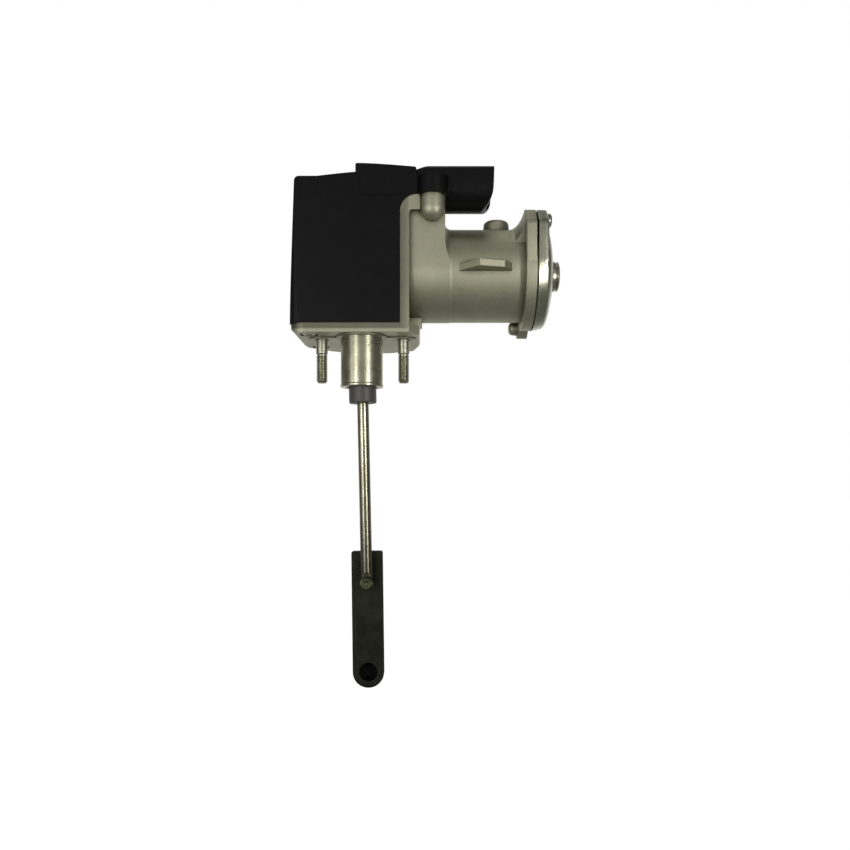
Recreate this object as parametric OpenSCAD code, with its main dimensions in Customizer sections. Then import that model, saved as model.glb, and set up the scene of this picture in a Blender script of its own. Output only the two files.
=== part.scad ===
// Electronic wastegate actuator: a geared DC motor that slides a push rod up and down.
// X runs along the motor towards its end cap, Z is up and the rod points down.
// The origin is on the mounting face, at the axis of the rod's guide bush.

/* [Base] */
// Distance from the rod axis to the left edge of the base
base_left = 29.5; // [27:0.5:34]
// Distance from the rod axis to the right end of the base
base_right = 24.8; // [23:0.2:27]
// Distance from the rod axis to the front edge of the base
base_front = 11.5; // [11.2:0.1:13]
// Distance from the rod axis to the back edge of the base
base_back = 46; // [45:0.5:52]
// Length of the slant that takes off the base's right front corner
base_slant = 9; // [4:0.5:12]
// Thickness of the cast base plate
base_t = 4; // [3.8:0.1:5]
// Height of the machined pads under the base plate
pad_h = 0.6; // [0.4:0.1:1.5]
// Radius of the rounded lower edge of the base plate
base_edge_r = 3.2; // [1:0.1:3.5]

/* [Gearbox casting] */
// Place along X of the parting face between casting and cover
parting_x = 16.7; // [16:0.1:17.5]
// Thickness of the sealing rim
rim_t = 3.7; // [3:0.1:4.5]
// Step from the gearbox wall out to the rim
rim_step = 1.3; // [1:0.1:1.6]
// Place along X of the gearbox's right face
wall_right = 35.6; // [35:0.2:38]
// Height of the parting face on top of the gearbox
wall_top = 58; // [57.5:0.5:60]
// Rounding of the parting line where it turns from the side to the top
corner_r = 7; // [4:0.5:8]
// Height of the rim's band below the parting face on top
band_h = 6.3; // [5:0.1:8]
// Thickness of the casting's walls
cast_wall = 3; // [2.5:0.1:3.5]
// Thickness of the web between gear chamber and motor
web_t = 4.5; // [4.4:0.1:5.5]

/* [Motor barrel] */
// Outer radius of the motor barrel
barrel_r = 20; // [19.5:0.1:21.5]
// Height of the motor axis above the mounting face
motor_z = 29; // [28.5:0.5:30]
// Place along X of the barrel flange's left face
flange_x = 69.5; // [68:0.5:74]
// Thickness of the barrel flange
flange_t = 4.4; // [3.6:0.1:5]
// Pitch radius of the flange's ears and of its lug
ear_pitch = 24.8; // [24:0.1:26]
// Radius of a flange ear
ear_r = 4.6; // [4.2:0.1:5.5]
// Lean of the upper ear towards the front, in degrees
ear_lean = 35; // [20:1:45]
// How far the back ear lies below the level of the motor's axis, in degrees
ear_dip = 25; // [15:1:30]
// Length of the hollow-curved gusset behind the upper ear
gusset_len = 5.5; // [3:0.5:6]
// Length of the round boss behind the lower lug
ear_boss_len = 4; // [3:0.5:5]
// How far the rib on the barrel stands out at its widest place
rib_out = 6.3; // [3:0.1:8]
// Thickness of the rib
rib_h = 2.9; // [2:0.1:4]
// Radius of the nub on top of the barrel, at its foot
nub_r = 6.1; // [5:0.1:7]
// Height of the nub above the barrel
nub_h = 4.1; // [3:0.1:5]

/* [Motor] */
// Wall thickness of the motor's steel can
can_wall = 1.25; // [1:0.05:1.5]
// Thickness of the magnets
magnet_t = 2.3; // [1.8:0.1:2.6]
// Air gap between magnets and armature
air_gap = 0.6; // [0.4:0.1:1]
// Length of the armature core
core_len = 20; // [16:1:21]
// Radius of the motor shaft
motor_shaft_r = 2; // [1.5:0.1:2.2]
// Radius of the commutator
commutator_r = 4.6; // [4:0.1:5.5]
// Number of armature poles
poles = 5; // [3:2:7]

/* [End cap] */
// Thickness of the gasket under the end cap
gasket_t = 0.6; // [0.5:0.1:1.5]
// Thickness of the cap's flat rim
cap_rim_t = 3.4; // [2.8:0.1:4]
// Thickness of the cap's two ears
cap_ear_t = 4.4; // [3.4:0.1:5]
// Height of the cap's dome above its rim
dome_h = 4.6; // [3.5:0.1:6]
// Height of the bearing boss above the dome
cap_boss_h = 3.6; // [3:0.1:5]
// Outer radius of the bearing boss
cap_boss_r = 6.6; // [6.2:0.1:7.5]
// Sheet thickness of the cap
cap_sheet = 1.4; // [1:0.1:1.8]

/* [Gears] */
// Module of the motor pinion stage
module_1 = 0.6; // [0.6:0.01:0.62]
// Module of the sector stage
module_2 = 0.8; // [0.8:0.01:0.82]
// Teeth on the motor pinion
pinion_teeth = 12; // [12:1:13]
// Teeth on the large idler wheel
wheel_teeth = 40; // [39:1:41]
// Teeth on the small idler wheel
small_teeth = 12; // [12:1:13]
// Teeth that the output sector would have as a full wheel
sector_teeth = 40; // [39:1:41]
// Height of the output axis above the motor axis
axis_rise = 16; // [15.5:0.1:16.5]
// Half the angle that the output sector spans, in degrees
sector_half = 39; // [37:0.5:40]
// Width of the sector stage along X
sector_w = 6; // [5:0.2:6.4]
// Width of the pinion stage along X
wheel_w = 4.2; // [3.5:0.1:4.6]

/* [Crank and rod] */
// Throw of the crank, which is the distance from rod axis to output axis
crank_r = 11; // [10.8:0.1:11.2]
// Thickness of the crank arm
arm_t = 4; // [3:0.5:5]
// Radius of the crank pin
crank_pin_r = 4; // [3.5:0.1:4.2]
// Thickness of the slotted yoke
yoke_t = 5; // [4:0.5:5.5]
// Wall of the yoke around its slot
yoke_wall = 2.3; // [2:0.1:2.8]
// Radius of the push rod
rod_r = 2.5; // [2:0.1:3]
// Height of the rod's lower end below the mounting face
rod_drop = 103; // [90:0.5:115]
// Lean of the rod from the vertical in the guide, in degrees
rod_lean = 1.25; // [0.5:0.05:1.5]

/* [Rod guide] */
// Outer radius of the guide bush
bush_r = 9; // [8.8:0.1:10]
// Length of the bush below the mounting face
bush_drop = 21.3; // [20:0.1:26]
// Depth of the guide ball's centre below the mounting face
ball_drop = 8; // [7.5:0.1:9]
// Radius of the guide ball
ball_r = 6.4; // [6:0.1:6.6]
// Outer radius of the scraper sleeve
sleeve_r = 5.9; // [5.5:0.1:6.2]
// Length of the sleeve that shows below the bush
sleeve_show = 6.8; // [5:0.1:10]

/* [Link] */
// Width of the link plate
link_w = 13.6; // [12:0.1:16]
// Thickness of the link plate
link_t = 3; // [2:0.5:4]
// Distance between the link's pin and its lower hole
link_pitch = 39; // [34:1:50]
// Distance from the pin up to the square top of the link
link_top = 13.5; // [10:0.5:16]
// Radius of the link's lower hole
link_hole_r = 4; // [3:0.1:5]
// Depth of the closed cap behind the link's lower hole
link_cap_t = 3.6; // [2:0.1:5]
// Radius of the link pin
link_pin_r = 1.6; // [1.2:0.1:1.8]
// Lean of the link from the vertical, in degrees
link_lean = 0.7; // [0:0.1:1.5]

/* [Studs] */
// Distance between the two studs
stud_pitch = 35.6; // [34:0.2:38]
// Place of the studs behind the rod axis
stud_y = 5; // [3:0.5:8]
// Radius of a stud
stud_r = 2.5; // [2:0.25:3]
// Length of a stud below the mounting face
stud_drop = 18.8; // [14:0.2:26]

/* [Cover] */
// Wall thickness of the plastic cover
cover_wall = 2.4; // [2:0.1:2.8]
// Draft of the cover's left side, in degrees
cover_draft = 2.2; // [0:0.1:3]
// Height of the cover's top above the parting face, beside the raised part
headroom = 9.8; // [9:0.1:12]
// Fall of the cover's top towards its left edge
left_fall = 2; // [0:0.1:3]
// Step up to the raised part
raised_step = 4; // [2:0.1:6]
// Drop of the raised part towards its right edge
raised_fall = 2.2; // [0.2:0.1:2.6]
// Place along X of the step up to the raised part
raised_left = -1.9; // [-8:0.1:0]
// Place along X of the raised part's right end
raised_right = 23.6; // [22:0.2:26]
// Rounding of the cover's outer edges
cover_edge_r = 2; // [1:0.1:2.4]

/* [Connector] */
// Place along X of the connector's mouth
mouth_x = 56.3; // [54:0.1:62]
// Half width of the connector shroud
shroud_r = 10; // [9:0.2:11]
// Place along Y of the connector's middle
shroud_y = 1.5; // [0:0.5:4]
// Height of the connector from its underside to its top
shroud_h = 17.2; // [16:0.1:19]
// Wall thickness of the shroud
shroud_wall = 1.8; // [1.4:0.1:2.2]
// Depth of the connector's socket
socket_depth = 13; // [10:0.5:16]
// Number of contact pins
pin_count = 5; // [3:1:5]
// Distance between contact pins
pin_pitch = 2.6; // [2.4:0.1:2.8]

/* [Screws] */
// Radius of the screw shanks
screw_r = 2; // [1.5:0.1:2.2]
// Radius of the screw heads
head_r = 3.6; // [3.2:0.1:3.8]
// Height of the screw heads
head_h = 2.7; // [2:0.1:3]
// Radius of the button heads on the end cap
button_r = 3; // [2.8:0.1:3.6]
// Radius of the two metal screw bosses under the cover
boss_r = 5.35; // [5:0.05:6]
// Radius of the two screw towers on the cover
tower_r = 6.6; // [6.2:0.1:7.2]
// Height of a screw tower above the parting face
tower_h = 7.6; // [7:0.1:9]

/* [Hidden] */
$fn = 48;
eps = 0.01;
// Length of a cut that has to pass all the way through
far = 200;

// Clearances
run_fit = 0.05;
loose_fit = 0.25;
seat_fit = 0.02;
free_gap = 0.3;

// Involute gears: pressure angle, profile shift of the small wheels, and backlash
pressure = 20;
shift = 0.3;
backlash = 0.1;

// Axes across X, each as a place along Y and Z
motor_yz = [crank_r, motor_z];
output_yz = [crank_r, motor_z + axis_rise];
centre_1 = module_1 * (pinion_teeth + wheel_teeth) / 2;
centre_2 = module_2 * (small_teeth + sector_teeth) / 2;
idler_rise = (axis_rise^2 + centre_1^2 - centre_2^2) / (2 * axis_rise);
idler_yz = motor_yz + [sqrt(centre_1^2 - idler_rise^2), idler_rise];
mesh_1 = direction(motor_yz, idler_yz);
mesh_2 = direction(idler_yz, output_yz);

// Shafts and their seats
idler_r = 2;
output_r = 3;
bush_out_r = 4.5;
hub_r = 6;
bracket_screw_r = 1.5;

// Gear chamber and its layers along X
chamber_x = wall_right - web_t;
wheel_x = chamber_x - 0.9 - wheel_w;
sector_x = wheel_x - 2 - sector_w;
bracket_t = 2.3;
bracket_x = parting_x - bracket_t;
plate_front = barrel_r - crank_r;
wheel_tip_r = tip_r(module_1, wheel_teeth, -shift);
idler_room = wheel_tip_r + 1;
post_r = 3;
wall_step = 0.15;
top_relief = 0.5;
barrel_fillet = 3;
gear_back = idler_yz[0] + idler_room + cast_wall;
post_y = -plate_front + cast_wall + post_r + 1;
post_turn = -62;
posts = [[post_y, wall_top - 8], [post_y, motor_z + 6.5],
    motor_yz + (barrel_r - cast_wall - post_r - free_gap) * [cos(post_turn), sin(post_turn)]];

// Base plate
base_top = pad_h + base_t;
base_radii = [6, 1, 4, 8, 5, 24, 24, 12];
stud_top = base_top - 1;
rim_back = gear_back + rim_step;
foot_front = 5;
foot_flare = 1;
press_step = 0.3;
lip_out = 0.2;

// Motor barrel and what lies in it
cavity_x = wall_right + 1;
can_r = barrel_r - cast_wall - seat_fit;
cap_x = flange_x + flange_t + gasket_t;
flange_end = flange_x + flange_t;
magnet_r = can_r - can_wall - seat_fit;
core_r = magnet_r - magnet_t - air_gap;
core_x = cavity_x + 8.4;
winding_over = 2;
commutator_x = core_x + core_len + winding_over + 0.6;
commutator_len = 5;
brush_x = commutator_x + 0.8;
brush_len = commutator_len - 1.6;
brush_out = 10;
brush_half = 2;
box_half = brush_half + 1.4;
holder_x = commutator_x + commutator_len + 0.4;
holder_t = 1.8;
bearing_len = 4;
bearing_r = 5.4;
bearing_x = cavity_x - bearing_len;
dome_top = cap_x + cap_rim_t + dome_h;
cap_end = dome_top + cap_boss_h;
cap_r = barrel_r + 3.6;
ear_thread = flange_t - 0.6;
button_h = 2.1;
nub_x = flange_x - 10.9;
ears = [for (a = [90 + ear_lean, -ear_dip]) motor_yz + ear_pitch * [cos(a), sin(a)]];
lug_yz = motor_yz + ear_pitch * [cos(ear_lean - 90), sin(ear_lean - 90)];

// Crank, yoke and rod
arm_x = 5;
arm_wall = 2.8;
yoke_z = output_yz[1];
slot_r = crank_pin_r + loose_fit;
crank_swing = 30;
slot_run = crank_r * (1 - cos(crank_swing));
yoke_left = slot_r + yoke_wall + 0.1;
yoke_right = slot_run + slot_r + yoke_wall + 0.1;
yoke_half = slot_r + yoke_wall + 0.6;
yoke_neck = 4;
holder_w = 6.6;
holder_plate = 2.6;
chip_gap = 1.8;
magnet_size = [2, 5, 4];
yoke_shift = (yoke_z + ball_drop) * sin(rod_lean);

// Rod guide
seat_r = ball_r + 0.06;
ball_half = 4.2;
neck_r = 4;
sleeve_end = bush_drop + sleeve_show;
eye_r = 2.9;
eye_t = 2 * rod_r - 0.8;
pin_z = -rod_drop - eye_r + 0.6;
link_y = rod_r + free_gap;
pin_x = -(pin_z + ball_drop) * sin(rod_lean);
pin_height = (pin_z + ball_drop) * cos(rod_lean) - ball_drop;

// Cover
cover_front = base_front - 0.3;
cover_back = base_back - 0.8;
cover_left = base_left + 0.3;
cover_deep = rim_back - 0.5;
cover_top_mid = wall_top + headroom;
cover_top_left = cover_top_mid - left_fall;
raised_top = cover_top_mid + raised_step;
shroud_top = raised_top - 0.3;
shroud_bottom = shroud_top - shroud_h;
tower_top = wall_top + tower_h;
front_tower = [wall_right - boss_r, -plate_front];
back_tower = [wall_right - boss_r, gear_back - 3];
rim_end = front_tower[0] - boss_r + 0.2;
mouth_right = rim_end - rim_t;
towers = [front_tower, back_tower];
cover_posts = [[-base_left + 7.5, -base_front + 7], [-base_left + 8.5, base_back - 19]];
post_top = 22;
board_gap = 3.6;
tower_floor = wall_top + board_gap;
thread_depth = 7;
board_t = 1.6;
board_z = wall_top + board_gap;
pin_size = 0.8;
pin_z0 = board_z + board_t;
pin_rows = [for (i = [0:pin_count - 1]) shroud_y + pin_pitch * (i - (pin_count - 1) / 2)];
socket_x = mouth_x - socket_depth;
pin_tip = mouth_x - 4.6;
pin_start = wall_right - 12;
rib_t = 2.4;
chip_t = 1.4;
chip_x = -yoke_t / 2 - holder_w - chip_gap - yoke_shift - chip_t;
lead_t = 0.5;
lead_x = chip_x + chip_t / 2;
lead_rows = [0, 1, 2];
board_left = chip_x + 0.1;
board_back = back_tower[1] - tower_r - 4;
board_right = wall_right - 6;
board_pegs = [[4, -4], [4, board_back - 3]];
processor = [7, 7, 1.2];
processor_at = [5.7, board_back - 12];
seal_w = 1.1;
seal_h = 1;

function unit(v) = v / norm(v);
function direction(from, to) = atan2(to[1] - from[1], to[0] - from[0]);
function polar(r, a) = r * [cos(a), sin(a)];
function inv(a) = tan(a) - a * PI / 180;
function tip_r(m, z, x) = m * (z / 2 + 1 + x);
function root_r(m, z, x) = m * (z / 2 - 1.25 + x);

// Half the angle of a gear tooth at radius r
function half_tooth(m, z, x, r) =
    let (base = m * z / 2 * cos(pressure),
         thick = m * (PI / 2 + 2 * x * tan(pressure)) - backlash)
    (thick / (m * z) + inv(pressure) - inv(acos(min(1, base / r)))) * 180 / PI;

// Points of one tooth, centred on angle a
function tooth(m, z, x, a) =
    let (base = m * z / 2 * cos(pressure), root = root_r(m, z, x), tip = tip_r(m, z, x),
         low = max(base, root), steps = 3,
         rs = [for (k = [0:steps]) low + (tip - low) * k / steps],
         wide = half_tooth(m, z, x, low))
    concat(
        [polar(root, a - wide)],
        [for (r = rs) polar(r, a - half_tooth(m, z, x, r))],
        [for (k = [steps:-1:0]) polar(rs[k], a + half_tooth(m, z, x, rs[k]))],
        [polar(root, a + wide)]);

// The points of an outline with its corner b rounded to radius r
function arc_at(a, b, c, r, n = 8) =
    r <= 0 ? [b] :
    let (u = unit(a - b), v = unit(c - b), half = acos(u * v) / 2,
         centre = b + unit(u + v) * r / sin(half),
         p = b + u * r / tan(half) - centre, q = b + v * r / tan(half) - centre,
         from = atan2(p[1], p[0]), turn = atan2(q[1], q[0]) - from,
         sweep = turn > 180 ? turn - 360 : turn < -180 ? turn + 360 : turn)
    [for (k = [0:n]) centre + polar(r, from + sweep * k / n)];
function rounded(pts, radii, steps = 8) =
    let (n = len(pts))
    [for (i = [0:n - 1]) each arc_at(pts[(i + n - 1) % n], pts[i], pts[(i + 1) % n], radii[i], steps)];

// Extrusions of outlines drawn in YZ, XZ and XY
module along_x(x0, x1) translate([x0, 0, 0]) rotate([90, 0, 90]) linear_extrude(x1 - x0) children();
module along_y(y0, y1) translate([0, y1, 0]) rotate([90, 0, 0]) linear_extrude(y1 - y0) children();
module along_z(z0, z1) translate([0, 0, z0]) linear_extrude(z1 - z0) children();

// A round bar along X at a place in YZ, and one along Z at a place in XY
module bar_x(yz, x0, x1, r) translate([x0, yz[0], yz[1]]) rotate([0, 90, 0]) cylinder(h = x1 - x0, r = r);
module bar_z(xy, z0, z1, r) translate([xy[0], xy[1], z0]) cylinder(h = z1 - z0, r = r);

// A turned piece about the X direction at a place in YZ, drawn as radius and X
module turned_x(yz) translate([0, yz[0], yz[1]]) rotate([0, 90, 0]) rotate_extrude() children();
module box(lo, hi) translate(lo) cube(hi - lo);

// What leans with the rod in its guide
module leaning() translate([0, 0, -ball_drop]) rotate([0, -rod_lean, 0]) translate([0, 0, ball_drop])
    children();

// A screw with its shank along -Z from the head's underside at the origin
module screw(len, r = screw_r, hr = head_r, hh = head_h) {
    translate([0, 0, -len]) cylinder(h = len, r = r);
    difference() {
        rotate_extrude() polygon(rounded([[0, 0], [hr, 0], [hr, hh], [0, hh]], [0, 0, hh * 0.6, 0], 4));
        translate([0, 0, hh * 0.4]) cylinder(h = hh, r = hr * 0.48, $fn = 6);
    }
}

// Outline of the gearbox in YZ, drawn in by some amount
module gearbox_outline(inset = 0, corner = 3) {
    hull() {
        translate(motor_yz) circle(barrel_r + wall_step - inset, $fn = 120);
        translate(idler_yz) circle(idler_room + cast_wall - inset, $fn = 120);
        for (y = [-plate_front + inset + corner, gear_back - inset - corner])
            translate([y, wall_top - top_relief - inset - corner]) circle(corner);
    }
}

// Side view of the casting at the parting line, grown by g: it rises at the left and turns along the top
module parting_side(g) polygon(rounded([
    [parting_x - g, -far], [wall_right + free_gap, -far],
    [wall_right + free_gap, wall_top + g], [parting_x - g, wall_top + g]], [0, 0, 0, corner_r + g]));

// Sealing rim: a band up the parting line and along the top to the screw bosses
module rim() along_y(-base_front, rim_back) polygon(rounded([
    [parting_x, pad_h], [parting_x + rim_t, pad_h], [parting_x + rim_t, wall_top - band_h],
    [rim_end, wall_top - band_h], [rim_end, wall_top], [parting_x, wall_top]], [0, 0, 1.5, 0, 0, corner_r]));

// The mouth that joins the gear chamber to the cover's inside, through the rim's left and top
module mouth() box([parting_x - cover_wall - 1, -plate_front + cast_wall, base_top],
    [mouth_right, gear_back - cast_wall, wall_top + cover_wall + 1]);

// Foot that carries the gearbox on the base plate, with a small hollow curve at its upper right
module foot() {
    low = base_top - 1;
    under = motor_z - barrel_r;
    right = base_right + foot_flare;
    along_y(foot_front, idler_yz[0]) polygon(rounded([
        [parting_x + 1, low], [base_right, low], [base_right, under], [right, under],
        [right, motor_z], [parting_x + 1, motor_z]], [0, 0, foot_flare, 0, 0, 0]));
}

module base_plate() {
    intersection() {
        along_z(pad_h, base_top) polygon(rounded([
            [-base_left, -base_front], [parting_x + rim_t, -base_front],
            [base_right, -base_front + base_slant], [base_right, rim_back - 22],
            [parting_x + rim_t, rim_back], [8, base_back], [-12, base_back], [-base_left, base_back - 20]],
            base_radii));
        along_y(-base_front - 1, base_back + 1) polygon(rounded([
            [-base_left, pad_h], [base_right, pad_h], [base_right, base_top], [-base_left, base_top]],
            [base_edge_r, 1, 0, 0]));
    }
    // Machined pads round the bush and the studs
    along_z(0, pad_h + eps) {
        circle(bush_r + 2);
        for (side = [-1, 1]) translate([side * stud_pitch / 2, stud_y]) circle(stud_r + 3);
        translate([-stud_pitch / 2, stud_y - stud_r - 3]) square([stud_pitch, 2 * stud_r + 6]);
    }
}

module flange_ear(yz, x0, x1, r) {
    along_x(x0, x1) hull() {
        translate(yz) circle(r);
        translate(motor_yz + (yz - motor_yz) * 0.55) circle(r * 2);
    }
}

// Gusset behind an ear: a hollow curve turned about the motor axis, within the ear's outline
module ear_gusset(yz) {
    reach = ear_pitch + ear_r - barrel_r;
    intersection() {
        turned_x(motor_yz) polygon(concat(
            [[barrel_r - 1, flange_x + 1], [barrel_r - 1, flange_x - gusset_len]],
            [for (a = [0:15:90]) [barrel_r + reach * (1 - cos(a)), flange_x - gusset_len * (1 - sin(a))]],
            [[barrel_r + reach, flange_x + 1]]));
        flange_ear(yz, flange_x - gusset_len, flange_x + 1, ear_r);
    }
}

// Round boss behind the lower lug, with a blunt end
module lug_boss() {
    r = ear_r - 1.3;
    turned_x(lug_yz) polygon(rounded([
        [0, flange_x + 1], [r, flange_x + 1],
        [r - 0.4, flange_x - ear_boss_len], [0, flange_x - ear_boss_len]],
        [0, 0, 2, 0]));
}

// Fillet from the gearbox's right face into the barrel, within the gearbox's outline
module barrel_blend() {
    intersection() {
        turned_x(motor_yz) polygon(concat(
            [[barrel_r - 1, wall_right + barrel_fillet], [barrel_r - 1, wall_right - 0.5],
             [barrel_r + barrel_fillet, wall_right - 0.5]],
            [for (a = [0:15:90])
                [barrel_r + barrel_fillet * (1 - sin(a)), wall_right + barrel_fillet * (1 - cos(a))]]));
        along_x(wall_right - 1, wall_right + barrel_fillet) gearbox_outline();
    }
}

// The rib on the front of the barrel, seen from above: widest at its left third, with a slanted right end
module barrel_rib() {
    rib_z = motor_z - 2.3;
    left = wall_right + 5.9;
    wide = left + 8.3;
    end = wide + 10.6;
    along_z(rib_z, rib_z + rib_h) polygon([
        [left, -plate_front], [wide, -plate_front - rib_out], [end, -plate_front - rib_out * 0.56],
        [end + 3.3, -plate_front], [end + 3.3, -plate_front + 2], [left, -plate_front + 2]]);
}

// The round nub on the top of the barrel, with a slight taper and a soft upper edge
module barrel_nub() translate([nub_x, motor_yz[0], 0]) rotate_extrude() polygon(rounded([
    [0, motor_z + barrel_r - cast_wall], [nub_r, motor_z + barrel_r - cast_wall],
    [nub_r - 0.7, motor_z + barrel_r + nub_h], [0, motor_z + barrel_r + nub_h]], [0, 0, 1.5, 0]));

module housing() {
    color([0.62, 0.62, 0.55]) difference() {
        union() {
            base_plate();
            rim();
            intersection() {
                along_x(parting_x + 1, wall_right) gearbox_outline();
                along_y(-far, far) parting_side(-top_relief);
            }
            foot();
            bar_x(motor_yz, wall_right - 1, flange_end, barrel_r);
            for (yz = concat(ears, [lug_yz])) flange_ear(yz, flange_x, flange_end, ear_r);
            ear_gusset(ears[0]);
            lug_boss();
            bar_x(motor_yz, flange_x, flange_end, cap_r);
            barrel_blend();
            barrel_rib();
            barrel_nub();
            bar_z(front_tower, wall_top - boss_r, wall_top, boss_r);
            translate([front_tower[0], front_tower[1], wall_top - boss_r]) sphere(boss_r);
            bar_z(back_tower, wall_top - boss_r, wall_top, boss_r);
            translate([back_tower[0], back_tower[1], wall_top - boss_r]) sphere(boss_r);
        }
        // Gear chamber, open towards the cover at its left and top
        difference() {
            union() {
                along_x(parting_x - eps, chamber_x) gearbox_outline(cast_wall, 1.5);
                intersection() {
                    mouth();
                    box([parting_x - 1, -far, wall_top - corner_r - cast_wall], [far, far, far]);
                }
            }
            for (p = posts) bar_x(p, parting_x, chamber_x + eps, post_r);
            for (t = towers) bar_z(t, wall_top - boss_r - 4, wall_top, boss_r);
        }
        // Motor cavity, bearing seat and shaft hole
        bar_x(motor_yz, cavity_x, flange_end + eps, barrel_r - cast_wall);
        bar_x(motor_yz, bearing_x, cavity_x + eps, bearing_r + seat_fit);
        bar_x(motor_yz, chamber_x - eps, cavity_x, motor_shaft_r + 0.8);
        // Seats of the output shaft's bush and of the idler's shaft
        bar_x(output_yz, chamber_x - eps, wall_right - 1, bush_out_r + seat_fit);
        bar_x(idler_yz, chamber_x - eps, wall_right - 1, idler_r + seat_fit);
        // Threads for the screws
        for (p = posts) bar_x(p, parting_x - eps, parting_x + thread_depth + 1, bracket_screw_r + seat_fit);
        for (yz = ears) bar_x(yz, flange_end - ear_thread, flange_end + eps, screw_r + seat_fit);
        for (t = towers) bar_z(t, wall_top - thread_depth, wall_top + eps, screw_r + seat_fit);
        // Lower corner at the back, cut off at a slant
        translate([parting_x + rim_t, rim_back, pad_h]) rotate([0, 0, -30]) rotate([45, 0, 0])
            cube([40, 12, 5.5], center = true);
        // Bush, studs and the two screws from below
        bar_z([0, 0], -eps, base_top + 1, bush_r + press_step + seat_fit);
        for (side = [-1, 1]) bar_z([side * stud_pitch / 2, stud_y], -eps, stud_top + seat_fit,
            stud_r + press_step + seat_fit);
        for (p = cover_posts) {
            bar_z(p, pad_h - eps, base_top + eps, screw_r + 0.2);
            bar_z(p, pad_h - eps, pad_h + head_h, head_r + 0.4);
        }
    }
}

// The turned guide bush, pressed into the base, with a seat for the ball and a small lip below
module guide_bush() {
    throat = neck_r + 1;
    wide = sleeve_r + 1;
    shoulder = -ball_drop - ball_half - 1.6;
    color([0.62, 0.6, 0.52]) difference() {
        rotate_extrude() polygon([
            [throat, -bush_drop], [bush_r, -bush_drop], [bush_r + lip_out, -bush_drop + 0.3],
            [bush_r + lip_out, -bush_drop + 1.1], [bush_r, -bush_drop + 1.4], [bush_r, 0],
            [bush_r + press_step, 0], [bush_r + press_step, base_top - 0.5],
            [bush_r - 0.9, base_top], [bush_r - 0.9, base_top + 2], [throat, base_top + 2]]);
        bar_z([0, 0], -bush_drop - eps, shoulder, wide);
        translate([0, 0, -ball_drop]) sphere(seat_r);
        bar_z([0, 0], -ball_drop, base_top + 3, seat_r);
    }
}

module retaining_ring() {
    z = -ball_drop + ball_half;
    color([0.45, 0.45, 0.45]) difference() {
        bar_z([0, 0], z, z + 2, seat_r - seat_fit);
        bar_z([0, 0], z - eps, z + 3, neck_r + 1.2);
    }
}

// The ball and its neck, which guide the rod and let it lean
module guide_ball() {
    color([0.6, 0.6, 0.58]) leaning() difference() {
        union() {
            intersection() {
                translate([0, 0, -ball_drop]) sphere(ball_r);
                bar_z([0, 0], -ball_drop - ball_half, -ball_drop + ball_half, ball_r + 1);
            }
            bar_z([0, 0], -sleeve_end + 1, -ball_drop, neck_r);
        }
        bar_z([0, 0], -sleeve_end, 0, rod_r + run_fit);
    }
}

module guide_sleeve() {
    color([0.4, 0.39, 0.38]) leaning() rotate_extrude() polygon([
        [neck_r + seat_fit, -sleeve_end + 1], [rod_r + 0.35, -sleeve_end + 1], [rod_r + 0.35, -sleeve_end],
        [sleeve_r - 0.4, -sleeve_end], [sleeve_r, -sleeve_end + 0.4],
        [sleeve_r, -ball_drop - ball_half - 3.2], [neck_r + seat_fit, -ball_drop - ball_half - 3.2]]);
}

// Studs with a smooth upper part and a thread relief below it
module studs() {
    smooth = 6.5;
    color([0.5, 0.5, 0.43]) for (side = [-1, 1]) translate([side * stud_pitch / 2, stud_y, 0])
        rotate_extrude() polygon([
            [0, -stud_drop], [stud_r - 0.7, -stud_drop], [stud_r - 0.2, -stud_drop + 0.6],
            [stud_r - 0.2, -smooth - 0.3], [stud_r, -smooth], [stud_r, 0],
            [stud_r + press_step, 0], [stud_r + press_step, stud_top - 0.4],
            [stud_r - 0.4, stud_top], [0, stud_top]]);
}

// Plan outlines of the cover and of its shelf over the gearbox, drawn in by w
module cover_plan(w, right) polygon(rounded([
    [-cover_left + w, -cover_front + w], [right, -cover_front + w], [right, cover_deep - w],
    [8, cover_back - w], [-12, cover_back - w], [-cover_left + w, cover_back - w - 19]],
    [4 - w / 2, 0, 0, 18, 18, 10]));
module shelf_plan(w) polygon(rounded([
    [0, -cover_front + w], [wall_right - w, -cover_front + w],
    [wall_right - w, cover_deep - w], [0, cover_deep - w]], [0, 2, 3, 0]));

// Cover: each block is the common part of a front, a side and a top outline
module cover_main(w, right) {
    lean = tan(cover_draft);
    left = -cover_left + w;
    low = base_top - (w > 0 ? 1 : 0);
    r = cover_edge_r - (w > 0 ? 1 : 0);
    intersection() {
        along_y(-cover_front - 1, cover_back + 1) polygon(rounded([
            [left, low], [right, low], [right, cover_top_mid - w], [raised_left, cover_top_mid - w],
            [left + 12, cover_top_left - w], [left + lean * (cover_top_left - low), cover_top_left - w]],
            [0, 0, 0, 0, 8, r]));
        along_x(left - 1, right + 1) polygon(rounded([
            [-cover_front + w, low], [cover_back - w, low], [cover_back - w - 1, cover_top_mid - w + 1],
            [-cover_front + w + 0.4, cover_top_mid - w + 1]], [0, 0, 8, r + 1]));
        along_z(low, cover_top_mid) cover_plan(w, right);
    }
}

// The raised block over the circuit board, and the shelf over the gearbox
module cover_raised(w) {
    r = cover_edge_r - (w > 0 ? 1 : 0);
    back = back_tower[1] + 2;
    intersection() {
        along_y(-cover_front - 1, back + 1) polygon(rounded([
            [raised_left + w, wall_top + w], [raised_right - w, wall_top + w],
            [raised_right - w, raised_top - raised_fall - w], [raised_left + w, raised_top - w]],
            [0, 0, r / 2, r / 2]));
        along_x(raised_left - 1, raised_right + 1) polygon(rounded([
            [-cover_front + w + 0.2, wall_top + w], [back - w, wall_top + w],
            [back - w - 1, raised_top - w], [-cover_front + w + 0.4, raised_top - w]], [0, 0, 5, r]));
    }
}

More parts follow.
